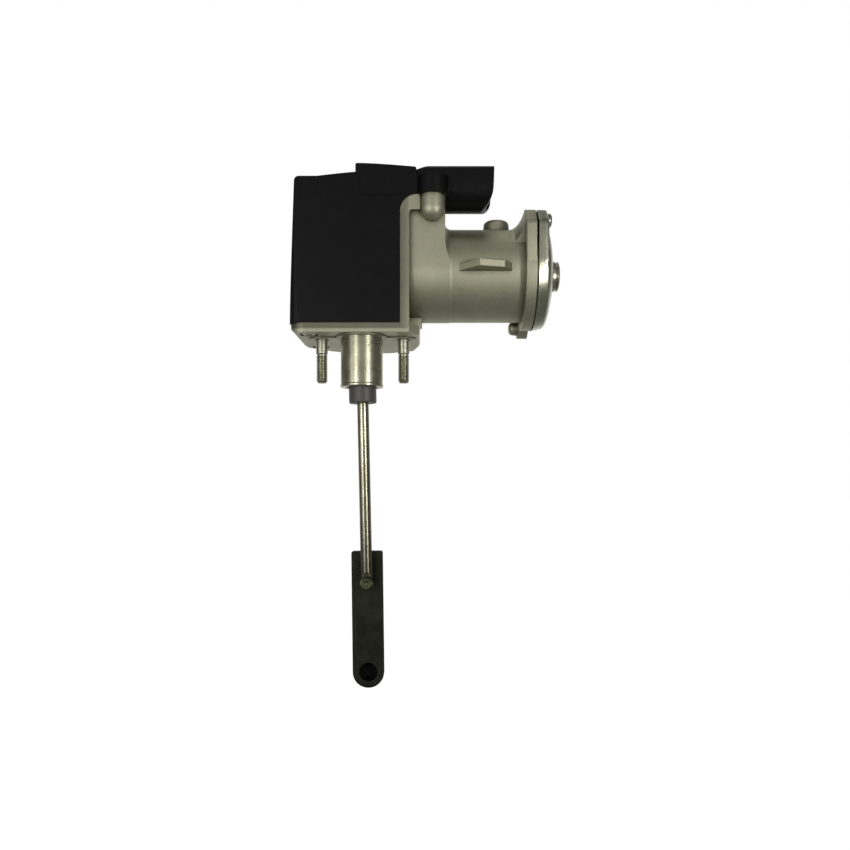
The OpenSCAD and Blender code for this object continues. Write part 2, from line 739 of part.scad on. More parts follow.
module cover_shelf(w) along_z(wall_top + w, pin_z0 + 3 - w) shelf_plan(w);

// The connector's outline in YZ: straight sides, a flat top and a half-round underside
module shroud_outline(w) {
    low = shroud_bottom + shroud_r;
    translate([shroud_y, low]) circle(shroud_r - w);
    polygon(rounded([
        [shroud_y - shroud_r + w, low], [shroud_y + shroud_r - w, low],
        [shroud_y + shroud_r - w, shroud_top - w], [shroud_y - shroud_r + w, shroud_top - w]],
        [0, 0, 2.5 - w / 2, 2.5 - w / 2]));
}

// The shroud, with its mouth cut back below as a rounded corner and its top rising in a soft curve
module shroud() {
    rise = 2.2;
    intersection() {
        along_x(raised_right - 1, mouth_x) shroud_outline(0);
        along_y(-far, far) polygon(rounded([
            [0, shroud_bottom - 1], [mouth_x - 0.6, shroud_bottom - 1], [mouth_x, shroud_top],
            [raised_right + 2.4 * rise, shroud_top], [raised_right, shroud_top - rise],
            [0, shroud_top - rise]],
            [0, 9, 0.8, 8, 1, 0]));
    }
}

// The cord of rubber that runs round the base and follows the rim up, round its corner and across the top
module seal_shape() {
    a = 0.7;
    b = a + seal_w;
    difference() {
        base_cord(a);
        base_cord(b);
    }
    intersection() {
        along_y(-far, far) difference() {
            parting_side(seal_h);
            parting_side(0);
        }
        difference() {
            rim_block(a);
            rim_block(b);
        }
    }
}
module base_cord(w) along_z(base_top, base_top + seal_h) cover_plan(w, parting_x);
module rim_block(w) box([0, -cover_front + w, base_top], [rim_end - w, cover_deep - w, far]);

module cover() {
    color([0.09, 0.1, 0.09]) difference() {
        union() {
            difference() {
                union() {
                    cover_main(0, raised_right - 0.1);
                    cover_raised(0);
                    cover_shelf(0);
                    shroud();
                    for (t = towers) bar_z(t, wall_top, tower_top, tower_r);
                }
                cover_main(cover_wall, parting_x - cover_wall);
                mouth();
                cover_raised(cover_wall);
                intersection() {
                    cover_shelf(cover_wall);
                    box([0, -far, 0], [wall_right - 4, far, far]);
                }
            }
            for (t = towers) bar_z(t, wall_top, tower_top - 1, tower_r);
            // Posts for the screws from below, a rib for the sensor and pegs for the board
            for (p = cover_posts) bar_z(p, base_top, base_top + post_top, screw_r + 2.2);
            for (p = cover_posts)
                box([p[0] - 6, p[1] - 0.8, base_top + 2], [p[0], p[1] + 0.8, base_top + post_top]);
            box([chip_x - rib_t, -2, yoke_z - 6], [chip_x, 4, cover_top_left - 1]);
            for (p = board_pegs) bar_z(p, pin_z0, raised_top - 2, 2);
        }
        // Nothing of the cover reaches into the casting
        along_y(-far, far) parting_side(0);
        seal_shape();
        intersection() {
            along_x(socket_x, mouth_x + 1) shroud_outline(shroud_wall);
            box([0, -far, 0], [mouth_x + 1, far, shroud_top - shroud_wall]);
        }
        for (y = pin_rows) box([pin_start - seat_fit, y - pin_size / 2 - seat_fit, pin_z0 - seat_fit],
            [socket_x + 1, y + pin_size / 2 + seat_fit, pin_z0 + pin_size + seat_fit]);
        for (t = towers) {
            bar_z(t, wall_top - 1, tower_top + 1, screw_r + 0.2);
            bar_z(t, tower_floor, tower_top + 1, head_r + 0.5);
        }
        for (p = cover_posts) bar_z(p, base_top - 1, base_top + thread_depth + 3, screw_r + seat_fit);
    }
}

module cover_seal() color([0.15, 0.15, 0.15]) seal_shape();

module cover_screws() color([0.6, 0.6, 0.6]) for (t = towers)
    translate([t[0], t[1], tower_floor]) screw(tower_floor - wall_top + thread_depth - 0.5);

module base_screws() color([0.6, 0.6, 0.6]) for (p = cover_posts)
    translate([p[0], p[1], pad_h + head_h]) mirror([0, 0, 1]) screw(base_t - head_h + thread_depth);

module terminal_pins() color([0.85, 0.7, 0.35]) for (y = pin_rows)
    box([pin_start, y - pin_size / 2, pin_z0], [pin_tip, y + pin_size / 2, pin_z0 + pin_size]);

// The board is notched round the front screw tower
module circuit_board() {
    color([0.1, 0.35, 0.2]) difference() {
        union() {
            box([board_left, -cover_front + cover_wall + 1.2, board_z], [board_right, board_back, pin_z0]);
            translate([processor_at[0], processor_at[1], pin_z0 - eps]) cube(processor);
        }
        bar_z(front_tower, board_z - 1, pin_z0 + 1, tower_r + free_gap);
        for (y = lead_rows) box([lead_x - lead_t / 2 - seat_fit, y - lead_t / 2 - seat_fit, board_z - 1],
            [lead_x + lead_t / 2 + seat_fit, y + lead_t / 2 + seat_fit, pin_z0 + 1]);
    }
}

module hall_sensor() color([0.12, 0.12, 0.12])
    box([chip_x, -1, yoke_z - 3], [chip_x + chip_t, 3, yoke_z + 3]);

// Leads from the sensor's top up through the board
module sensor_leads() color([0.7, 0.7, 0.7]) for (y = lead_rows)
    box([lead_x - lead_t / 2, y - lead_t / 2, yoke_z + 3],
        [lead_x + lead_t / 2, y + lead_t / 2, pin_z0 + 0.3]);

// Motor
module motor_can() color([0.55, 0.55, 0.55]) difference() {
    bar_x(motor_yz, cavity_x, flange_end - 0.2, can_r);
    bar_x(motor_yz, cavity_x + can_wall, flange_end, can_r - can_wall);
    bar_x(motor_yz, cavity_x - 1, flange_end, bearing_r);
}

module motor_magnets() color([0.25, 0.25, 0.27]) difference() {
    bar_x(motor_yz, core_x - 1, core_x + core_len + 1, magnet_r);
    bar_x(motor_yz, core_x - 2, core_x + core_len + 2, magnet_r - magnet_t);
    box([core_x - 2, motor_yz[0] - 5, motor_z - can_r],
        [core_x + core_len + 2, motor_yz[0] + 5, motor_z + can_r]);
}

module bearing(x0, len) color([0.6, 0.5, 0.35]) difference() {
    bar_x(motor_yz, x0, x0 + len, bearing_r);
    bar_x(motor_yz, x0 - 1, x0 + len + 1, motor_shaft_r + run_fit);
}
module front_bearing() bearing(bearing_x, bearing_len);
module rear_bearing() bearing(cap_end - cap_sheet - bearing_len - 0.2, bearing_len);

module brush_holder() color([0.2, 0.2, 0.2]) difference() {
    union() {
        bar_x(motor_yz, holder_x, holder_x + holder_t, can_r - can_wall - seat_fit);
        for (side = [-1, 1]) box(
            [brush_x - 0.8,
             motor_yz[0] + (side > 0 ? commutator_r + 1 : -brush_out - 1.5), motor_z - box_half],
            [holder_x + eps,
             motor_yz[0] + (side > 0 ? brush_out + 1.5 : -commutator_r - 1), motor_z + box_half]);
    }
    bar_x(motor_yz, holder_x - 1, holder_x + holder_t + 1, commutator_r + 1);
    for (side = [-1, 1]) box(
        [brush_x - seat_fit, motor_yz[0] + (side > 0 ? 0 : -brush_out), motor_z - brush_half - seat_fit],
        [brush_x + brush_len + seat_fit,
         motor_yz[0] + (side > 0 ? brush_out : 0), motor_z + brush_half + seat_fit]);
}

module brushes() color([0.2, 0.18, 0.17]) for (side = [-1, 1]) box(
    [brush_x, motor_yz[0] + (side > 0 ? commutator_r + 0.1 : -brush_out), motor_z - brush_half],
    [brush_x + brush_len, motor_yz[0] + (side > 0 ? brush_out : -commutator_r - 0.1), motor_z + brush_half]);

module end_cap_gasket() color([0.36, 0.34, 0.28]) difference() {
    union() {
        bar_x(motor_yz, flange_end, cap_x, cap_r - 0.8);
        for (yz = ears) flange_ear(yz, flange_end, cap_x, ear_r - 0.8);
    }
    bar_x(motor_yz, flange_end - 1, cap_x + 1, barrel_r - cast_wall);
    for (yz = ears) bar_x(yz, flange_end - 1, cap_x + 1, screw_r + 0.2);
}

// The stamped end cap: a flat rim with two ears, a shallow dome and a bearing boss
module end_cap() {
    rim = cap_x + cap_rim_t;
    color([0.75, 0.75, 0.68]) difference() {
        union() {
            turned_x(motor_yz) polygon([
                [0, cap_x], [cap_r, cap_x], [cap_r, rim - 1.4], [cap_r - 0.4, rim - 0.4], [cap_r - 1.4, rim],
                [cap_r - 2.2, rim + 0.6], [cap_r - 3.6, rim + dome_h * 0.42],
                [cap_r - 6, rim + dome_h * 0.66], [cap_r - 10, rim + dome_h * 0.86],
                [cap_boss_r + 1, dome_top], [cap_boss_r, dome_top + 0.6], [cap_boss_r, cap_end - 1.2],
                [cap_boss_r - 0.4, cap_end - 0.4], [cap_boss_r - 1.2, cap_end], [0, cap_end]]);
            for (yz = ears) flange_ear(yz, cap_x, cap_x + cap_ear_t, ear_r);
        }
        turned_x(motor_yz) polygon([
            [0, cap_x - 1], [barrel_r - cast_wall, cap_x - 1], [barrel_r - cast_wall, rim],
            [cap_r - 7, rim + dome_h * 0.6 - cap_sheet], [cap_boss_r + 1, dome_top - cap_sheet],
            [bearing_r + seat_fit, dome_top - cap_sheet], [bearing_r + seat_fit, cap_end - cap_sheet],
            [0, cap_end - cap_sheet]]);
        for (yz = ears) {
            bar_x(yz, cap_x - 1, cap_x + cap_ear_t + 1, screw_r + 0.2);
            bar_x(yz, cap_x + cap_ear_t, cap_end, button_r + free_gap);
        }
    }
}

module end_cap_screws() color([0.65, 0.65, 0.62]) for (yz = ears)
    translate([cap_x + cap_ear_t, yz[0], yz[1]]) rotate([0, 90, 0])
        screw(cap_ear_t + gasket_t + ear_thread - 0.2, screw_r, button_r, button_h);

// Plate that carries the left ends of the idler and output shafts
module gear_bracket() color([0.5, 0.5, 0.5]) difference() {
    along_x(bracket_x, parting_x) hull() {
        translate(output_yz) circle(bush_out_r + 2.5);
        translate(idler_yz) circle(5.5);
        for (p = posts) translate(p) circle(post_r + 0.4);
    }
    bar_x(output_yz, bracket_x - 1, parting_x + 1, bush_out_r + seat_fit);
    bar_x(idler_yz, bracket_x - 1, parting_x + 1, idler_r + seat_fit);
    for (p = posts) bar_x(p, bracket_x - 1, parting_x + 1, bracket_screw_r + 0.1);
}

module bracket_screws() color([0.6, 0.6, 0.6]) for (p = posts)
    translate([bracket_x, p[0], p[1]]) rotate([0, -90, 0])
        screw(bracket_t + thread_depth, bracket_screw_r, 2.6, 1.8);

module idler_shaft() color([0.7, 0.7, 0.7]) bar_x(idler_yz, bracket_x, wall_right - 1.2, idler_r);

module output_bushes() color([0.7, 0.55, 0.3])
    for (x = [[bracket_x, parting_x + 0.6], [chamber_x, wall_right - 1.1]]) difference() {
        bar_x(output_yz, x[0], x[1], bush_out_r);
        bar_x(output_yz, x[0] - 1, x[1] + 1, output_r + run_fit);
    }

// Rotor
module motor_shaft() color([0.7, 0.7, 0.7])
    bar_x(motor_yz, wheel_x - 0.3, cap_end - cap_sheet - 0.6, motor_shaft_r);

module around_motor() translate([0, motor_yz[0], motor_yz[1]]) children();

module armature_core() color([0.5, 0.5, 0.52])
    around_motor() along_x(core_x, core_x + core_len) difference() {
    union() {
        circle(5.5);
        for (i = [0:poles - 1]) rotate(i * 360 / poles) {
            translate([0, -1.7]) square([core_r - 1, 3.4]);
            intersection() {
                difference() {
                    circle(core_r);
                    circle(core_r - 1.9);
                }
                polygon([[0, 0], polar(core_r * 1.3, -140 / poles),
                    [core_r * 1.3, 0], polar(core_r * 1.3, 140 / poles)]);
            }
        }
    }
    circle(motor_shaft_r);
}

module armature_windings() color([0.72, 0.4, 0.2]) around_motor() for (i = [0:poles - 1])
    rotate([i * 360 / poles, 0, 0]) difference() {
        intersection() {
            box([core_x - winding_over, 6.2, -3.2], [core_x + core_len + winding_over, core_r, 3.2]);
            bar_x([0, 0], core_x - winding_over, core_x + core_len + winding_over, core_r - 1.95);
        }
        box([core_x - seat_fit, 5, -1.7 - seat_fit], [core_x + core_len + seat_fit, core_r, 1.7 + seat_fit]);
    }

module commutator() color([0.75, 0.5, 0.3]) around_motor()
    along_x(commutator_x - winding_over, commutator_x + commutator_len) difference() {
        circle(commutator_r);
        circle(motor_shaft_r);
        for (i = [0:2 * poles - 1]) rotate(i * 180 / poles)
            translate([commutator_r - 0.8, -0.2]) square([2, 0.4]);
    }

module gear(m, z, x, phase) rotate(phase)
    polygon([for (i = [0:z - 1]) each tooth(m, z, x, i * 360 / z)]);

module motor_pinion() color([0.7, 0.6, 0.35]) around_motor()
    along_x(wheel_x, wheel_x + wheel_w + 0.6) difference() {
        gear(module_1, pinion_teeth, shift, mesh_1);
        circle(motor_shaft_r);
    }

// Idler: the large and small wheels are one moulding
module idler_gear() color([0.85, 0.83, 0.75]) translate([0, idler_yz[0], idler_yz[1]]) difference() {
    union() {
        along_x(wheel_x, wheel_x + wheel_w)
            gear(module_1, wheel_teeth, -shift, mesh_1 + 180 + 180 / wheel_teeth);
        along_x(parting_x + 0.6, wheel_x + eps) gear(module_2, small_teeth, shift, mesh_2);
    }
    bar_x([0, 0], parting_x, wheel_x + wheel_w + 1, idler_r + run_fit);
    // Dished face of the large wheel
    difference() {
        bar_x([0, 0], wheel_x + wheel_w - 1.2, wheel_x + wheel_w + 1, wheel_tip_r - 3.2);
        bar_x([0, 0], wheel_x, wheel_x + wheel_w + 2, idler_r + 2);
    }
}

// Output sector with its hub, and two lightening holes
module output_gear() {
    gap_phase = mesh_2 + 180 + 180 / sector_teeth;
    reach = tip_r(module_2, sector_teeth, -shift) + 1;
    web = [for (side = [-1, 1]) polar(reach / cos(sector_half), mesh_2 + 180 + side * sector_half)];
    color([0.85, 0.83, 0.75]) translate([0, output_yz[0], output_yz[1]]) difference() {
        union() {
            along_x(sector_x, sector_x + sector_w) intersection() {
                gear(module_2, sector_teeth, -shift, gap_phase);
                polygon([polar(-1, mesh_2 + 180), web[0], web[1]]);
            }
            bar_x([0, 0], parting_x + 0.9, chamber_x - 0.3, hub_r);
        }
        bar_x([0, 0], parting_x, chamber_x + 1, output_r);
        for (side = [-1, 1])
            bar_x(polar(11, mesh_2 + 180 + side * sector_half * 0.45), parting_x, chamber_x, 2.2);
    }
}

module output_shaft() color([0.7, 0.7, 0.7]) bar_x(output_yz, arm_x, wall_right - 1.4, output_r);

// The crank arm: its pin end points at the rod axis
module crank_arm() color([0.5, 0.5, 0.48]) difference() {
    along_x(arm_x, arm_x + arm_t) hull() {
        translate(output_yz) circle(output_r + arm_wall);
        translate([0, yoke_z]) circle(crank_pin_r + 0.8);
    }
    bar_x(output_yz, arm_x - 1, arm_x + arm_t + 1, output_r);
    bar_x([0, yoke_z], arm_x - 1, arm_x + arm_t + 1, crank_pin_r - 1.5);
}

// The pin has a smaller shank that is riveted into the arm
module crank_pin() color([0.75, 0.75, 0.75]) union() {
    bar_x([0, yoke_z], -yoke_shift - yoke_t / 2 - 0.8, arm_x, crank_pin_r);
    bar_x([0, yoke_z], arm_x - eps, arm_x + arm_t + 0.4, crank_pin_r - 1.5);
}

// Push rod, with a flattened eye at its lower end
module push_rod() color([0.62, 0.61, 0.54]) leaning() difference() {
    union() {
        bar_z([0, 0], -rod_drop, yoke_z - yoke_half, rod_r);
        translate([0, -eye_t / 2, pin_z]) rotate([-90, 0, 0]) cylinder(h = eye_t, r = eye_r);
    }
    for (side = [-1, 1]) translate([0, side * (eye_t / 2 + 2), pin_z + 1])
        cube([2 * rod_r + 2, 4, 2 * eye_r + 1.4], center = true);
    translate([0, -rod_r - 1, pin_z]) rotate([-90, 0, 0]) cylinder(h = 2 * rod_r + 2, r = link_pin_r);
}

// Slotted yoke on top of the rod; the slot lies along Y
module yoke() color([0.45, 0.45, 0.45]) leaning() difference() {
    union() {
        along_x(-yoke_t / 2, yoke_t / 2) polygon(rounded([
            [-yoke_left, yoke_z - yoke_half], [yoke_right, yoke_z - yoke_half],
            [yoke_right, yoke_z + yoke_half], [-yoke_left, yoke_z + yoke_half]], [2, 2, 2, 2]));
        bar_z([0, 0], yoke_z - yoke_half - yoke_neck, yoke_z - yoke_half + 0.5, rod_r + 1.6);
    }
    bar_z([0, 0], yoke_z - yoke_half - yoke_neck - 1, yoke_z - yoke_half, rod_r);
    along_x(-yoke_t, yoke_t) {
        translate([-0.1, yoke_z]) circle(slot_r);
        translate([slot_run + 0.1, yoke_z]) circle(slot_r);
        translate([-0.1, yoke_z - slot_r]) square([slot_run + 0.2, 2 * slot_r]);
    }
}

// Plastic holder clipped to the yoke's left face, with the magnets in its outer face
module magnet_holder() color([0.3, 0.3, 0.32]) leaning() difference() {
    union() {
        box([-yoke_t / 2 - holder_w, -magnet_size[1] / 2, yoke_z - yoke_half],
            [-yoke_t / 2 - holder_w + holder_plate, magnet_size[1] / 2 + 2, yoke_z + yoke_half]);
        for (s = [-1, 1]) box(
            [-yoke_t / 2 - holder_w, -magnet_size[1] / 2, yoke_z + s * (yoke_half - 1.6) - 1],
            [-yoke_t / 2, magnet_size[1] / 2 + 2, yoke_z + s * (yoke_half - 1.6) + 1]);
    }
    for (s = [-1, 1]) magnet_block(s, seat_fit);
}

module magnet_block(s, grow) box(
    [-yoke_t / 2 - holder_w - grow, -1.5 - grow, yoke_z + s * 2.6 - magnet_size[2] / 2 - grow],
    [-yoke_t / 2 - holder_w + magnet_size[0] + grow, -1.5 + magnet_size[1] + grow,
     yoke_z + s * 2.6 + magnet_size[2] / 2 + grow]);

module position_magnets() color([0.55, 0.55, 0.58]) leaning() for (s = [-1, 1]) magnet_block(s, 0);

// Rivet pin with a domed head in front and a washer-like head behind the link
module link_pin() color([0.5, 0.5, 0.42]) leaning() translate([0, 0, pin_z]) rotate([-90, 0, 0]) {
    translate([0, 0, -eye_t / 2])
        cylinder(h = eye_t / 2 + link_y + link_t + free_gap, r = link_pin_r - seat_fit);
    difference() {
        translate([0, 0, -eye_t / 2 - 1]) cylinder(h = 1, r1 = eye_r - 0.5, r2 = eye_r);
        translate([0, 0, -eye_t / 2 - 1.7]) sphere(1.2);
    }
    translate([0, 0, link_y + link_t + free_gap]) cylinder(h = 1.2, r = link_pin_r + 1);
}

module at_link() translate([pin_x, link_y, pin_height]) rotate([0, -link_lean, 0]) children();

module link_plate() color([0.16, 0.17, 0.15])
    at_link() difference() {
        along_y(0, link_t) union() {
            polygon(rounded([
                [-link_w / 2, -link_pitch], [link_w / 2, -link_pitch],
                [link_w / 2, link_top], [-link_w / 2, link_top]], [0, 0, 1, 1]));
            translate([0, -link_pitch]) circle(link_w / 2);
        }
        translate([0, -1, 0]) rotate([-90, 0, 0]) cylinder(h = link_t + 2, r = link_pin_r + run_fit);
        translate([0, -1, -link_pitch]) rotate([-90, 0, 0]) cylinder(h = link_t + 2, r = link_hole_r);
    }

// Closed cap behind the lower hole, which keeps dirt off the pin that turns in it
module link_cap() color([0.05, 0.05, 0.05])
    at_link() translate([0, link_t, -link_pitch]) rotate([-90, 0, 0]) rotate_extrude() polygon(rounded([
        [link_hole_r + 0.4, 0], [link_hole_r + 1.7, 0], [link_hole_r + 1.7, link_cap_t], [0, link_cap_t],
        [0, link_cap_t - 0.9], [link_hole_r + 0.4, link_cap_t - 0.9]], [0, 0, 1, 0, 0, 0]));

housing();
guide_bush();
retaining_ring();
guide_ball();
guide_sleeve();
studs();
cover();
cover_seal();
cover_screws();
base_screws();
terminal_pins();
circuit_board();
hall_sensor();
sensor_leads();
motor_can();
motor_magnets();
front_bearing();
rear_bearing();
brush_holder();
brushes();
end_cap_gasket();
end_cap();
end_cap_screws();
gear_bracket();
bracket_screws();
idler_shaft();
output_bushes();
motor_shaft();
armature_core();
armature_windings();
commutator();
motor_pinion();
idler_gear();
output_gear();
output_shaft();
crank_arm();
crank_pin();
push_rod();
yoke();
magnet_holder();
position_magnets();
link_pin();
link_plate();
link_cap();
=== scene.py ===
# %% [markdown]
# # Dressing an electric wastegate actuator
# A geared motor in a cast housing slides a push rod up and down, and a link plate on the rod moves the
# turbocharger's bypass valve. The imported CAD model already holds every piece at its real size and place.
# This lesson gives the pieces their finishes. It adds the threads, the lifted rib, the flange's flat front
# and the stamped cap, which are finer than the CAD model, and sets up a plain studio round them.

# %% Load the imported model
import math

import bmesh
import bpy
from mathutils import Matrix, Vector


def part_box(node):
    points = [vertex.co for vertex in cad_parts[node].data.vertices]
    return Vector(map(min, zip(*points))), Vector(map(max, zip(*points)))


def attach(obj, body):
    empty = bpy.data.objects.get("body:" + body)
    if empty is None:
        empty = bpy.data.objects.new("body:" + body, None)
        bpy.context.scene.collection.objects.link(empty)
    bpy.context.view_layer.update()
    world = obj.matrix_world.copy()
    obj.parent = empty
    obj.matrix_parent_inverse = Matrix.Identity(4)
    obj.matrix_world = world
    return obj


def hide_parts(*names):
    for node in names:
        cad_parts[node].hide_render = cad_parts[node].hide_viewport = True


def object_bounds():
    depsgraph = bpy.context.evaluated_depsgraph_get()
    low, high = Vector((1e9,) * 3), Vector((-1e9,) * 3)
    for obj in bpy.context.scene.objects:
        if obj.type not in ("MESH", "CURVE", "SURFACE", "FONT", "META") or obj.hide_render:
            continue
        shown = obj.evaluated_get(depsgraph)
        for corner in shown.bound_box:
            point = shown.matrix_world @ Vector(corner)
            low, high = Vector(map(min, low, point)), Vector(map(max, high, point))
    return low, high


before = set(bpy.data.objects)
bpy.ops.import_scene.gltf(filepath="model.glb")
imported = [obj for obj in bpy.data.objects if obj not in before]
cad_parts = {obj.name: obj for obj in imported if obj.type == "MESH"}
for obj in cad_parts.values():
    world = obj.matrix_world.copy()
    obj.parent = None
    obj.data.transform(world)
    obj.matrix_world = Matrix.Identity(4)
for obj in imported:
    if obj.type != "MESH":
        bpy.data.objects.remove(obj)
cad_low, cad_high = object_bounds()
MM = 0.001
print("CAD box in mm:", [round(side / MM, 1) for side in cad_high - cad_low])

# %% [markdown]
# ## The camera
# The photograph was taken from the front, level, from about a third of a metre, a little to the right of the
# rod and below the housing. A lens shift moves the picture up without tilting the camera, so vertical edges
# stay upright, which is how a product photograph keeps a housing square.

# %% Place the camera
SENSOR = 36.0
EYE = Vector((27.13, -350.0, -61.0)) * MM
PHOTO_PIXELS = 850
FOCAL_PIXELS = 814
HORIZON_PIXEL = 480

camera_data = bpy.data.cameras.new("camera")
camera_data.sensor_width = SENSOR
camera_data.lens = SENSOR * FOCAL_PIXELS / PHOTO_PIXELS
camera_data.shift_y = (HORIZON_PIXEL - PHOTO_PIXELS / 2) / PHOTO_PIXELS
camera_data.clip_start = 0.01
camera = bpy.data.objects.new("camera", camera_data)
camera.location = EYE
camera.rotation_euler = (math.radians(90), 0, 0)
bpy.context.scene.collection.objects.link(camera)
bpy.context.scene.camera = camera
print("lens in mm:", round(camera_data.lens, 2), "shift:", round(camera_data.shift_y, 3))

# %% [markdown]
# ## Small tools for materials
# A colour picked on a screen is sRGB, but a renderer adds up linear light, so every colour passes through one
# function. Another adds a shader node with its settings, and wires in whatever is itself a socket, so that
# each finish below reads as a short recipe.

# %% Colour and node helpers
def linear(hex_colour):
    """Turn an sRGB hex colour into linear red, green, blue and alpha."""
    channels = [int(hex_colour[i:i + 2], 16) / 255 for i in (1, 3, 5)]
    return (*[c / 12.92 if c <= 0.04045 else ((c + 0.055) / 1.055) ** 2.4 for c in channels], 1.0)


def add_node(tree, kind, inputs, **settings):
    """Add a shader node; an input that is a socket is linked, and any other is set as a value."""
    node = tree.nodes.new(kind)
    for name, value in settings.items():
        setattr(node, name, value)
    for name, value in inputs.items():
        if isinstance(value, bpy.types.NodeSocket):
            tree.links.new(value, node.inputs[name])
        else:
            node.inputs[name].default_value = value
    return node


def start_finish(name, **sockets):
    """A new material with its tree, its Principled shader and the object's own coordinates."""
    material = bpy.data.materials.new(name)
    material.use_nodes = True
    tree = material.node_tree
    shader = tree.nodes["Principled BSDF"]
    for socket, value in sockets.items():
        shader.inputs[socket.replace("_", " ")].default_value = value
    place = tree.nodes.new("ShaderNodeTexCoord").outputs["Object"]
    return material, tree, shader, place


def per(size_mm):
    """The noise scale at which one grain measures size_mm."""
    return 1 / (size_mm * MM)


print("50% grey in linear light:", round(linear("#808080")[0], 3))

# %% [markdown]
# ## Patterns that several finishes share
# Real surfaces are never one value. A blotch changes the colour slowly, a grain changes the roughness and
# the height quickly, and a rounded edge catches light where a drawn edge is perfectly sharp. The edge
# rounding is done by a Bevel node, which bends the normals next to an edge by a real radius.

# %% Blotch, grain and soft edge
def blotch(tree, place, size_mm, dark, light, detail=3.0):
    """A colour that wanders between two tones, with patches of size_mm."""
    noise = add_node(tree, "ShaderNodeTexNoise", {"Vector": place, "Scale": per(size_mm), "Detail": detail})
    spread = add_node(tree, "ShaderNodeMapRange", {
        "Value": noise.outputs["Fac"], "From Min": 0.35, "From Max": 0.65})
    mix = add_node(tree, "ShaderNodeMix", {
        "Factor": spread.outputs["Result"], 6: linear(dark), 7: linear(light)}, data_type="RGBA")
    return mix.outputs[2]


def wander(tree, place, size_mm, low, high):
    """A number that wanders between low and high, with patches of size_mm."""
    noise = add_node(tree, "ShaderNodeTexNoise", {"Vector": place, "Scale": per(size_mm), "Detail": 2.0})
    spread = add_node(tree, "ShaderNodeMapRange", {
        "Value": noise.outputs["Fac"], "From Min": 0.3, "From Max": 0.7, "To Min": low, "To Max": high})
    return spread.outputs["Result"]


def relief(tree, place, size_mm, depth_mm, edge_mm):
    """Normals of a grain of size_mm and depth_mm, on edges rounded to edge_mm."""
    edge = add_node(tree, "ShaderNodeBevel", {"Radius": edge_mm * MM}, samples=6)
    noise = add_node(tree, "ShaderNodeTexNoise", {"Vector": place, "Scale": per(size_mm), "Detail": 2.0})
    bump = add_node(tree, "ShaderNodeBump", {
        "Height": noise.outputs["Fac"], "Distance": depth_mm * MM, "Strength": 1.0,
        "Normal": edge.outputs["Normal"]})
    return bump.outputs["Normal"]


print("noise scale of a 0.5 mm grain:", round(per(0.5)))

# %% [markdown]
# ## Die-cast aluminium
# The housing is cast in a steel die and then shot-blasted, which leaves an even, slightly rough skin that is
# warm grey and spreads its highlights wide. The grain left by the shot is about a third of a millimetre
# across. It is drawn twice as coarse here, because at its true size it would vanish between the pixels.
#
# An ambient occlusion node paints shade into the colour in the corners, where little light gets in. Painted
# shade also darkens the upright sealing rim that shows beside the cover. That place is found by the casting's
# own coordinates: left of 20.2 mm and above the rim's unshaded foot, darkest on the left and lighter at the
# top.

# %% Paint shade on the rim
# Painted shade on the rim beside the cover: darkest on the left, lighter at the top and at its foot.
RIM_X = (16.8 * MM, 20.2 * MM)
RIM_SHADES = (0.42, 0.75)
RIM_FOOT_Z = (3.0 * MM, 1.8 * MM)
RIM_FOOT_SHADE = 0.97
RIM_HEAD_Z = (44 * MM, 52 * MM)
RIM_HEAD_SHADE = 0.6


def rim_painted_shade(tree, place):
    """A painted shade that is dark on the upright sealing rim and 1, or nearly, elsewhere."""
    apart = add_node(tree, "ShaderNodeSeparateXYZ", {"Vector": place})
    across = add_node(tree, "ShaderNodeMapRange", {
        "Value": apart.outputs["X"], "From Min": RIM_X[0], "From Max": RIM_X[1],
        "To Min": RIM_SHADES[0], "To Max": RIM_SHADES[1]})
    beside = add_node(tree, "ShaderNodeMath", {0: apart.outputs["X"], 1: RIM_X[1]}, operation="GREATER_THAN")
    foot = add_node(tree, "ShaderNodeMapRange", {
        "Value": apart.outputs["Z"], "From Min": RIM_FOOT_Z[0], "From Max": RIM_FOOT_Z[1],
        "To Max": RIM_FOOT_SHADE})
    head = add_node(tree, "ShaderNodeMapRange", {
        "Value": apart.outputs["Z"], "From Min": RIM_HEAD_Z[0], "From Max": RIM_HEAD_Z[1],
        "To Max": RIM_HEAD_SHADE})
    shade = across.outputs["Result"]
    for unshaded in (beside.outputs[0], foot.outputs["Result"], head.outputs["Result"]):
        shade = add_node(tree, "ShaderNodeMath", {0: shade, 1: unshaded}, operation="MAXIMUM").outputs[0]
    return shade


# Prints where the painted shade on the rim lies.
print("shade_painted rim in mm: x up to", round(RIM_X[1] / MM, 1), "and z from", round(RIM_FOOT_Z[0] / MM, 1))

# %% Cast finish
# Painted shade: within this reach the ambient occlusion node darkens the casting's colour in its corners.
CORNER_REACH = 3.0 * MM
CORNER_SHADE = 0.25


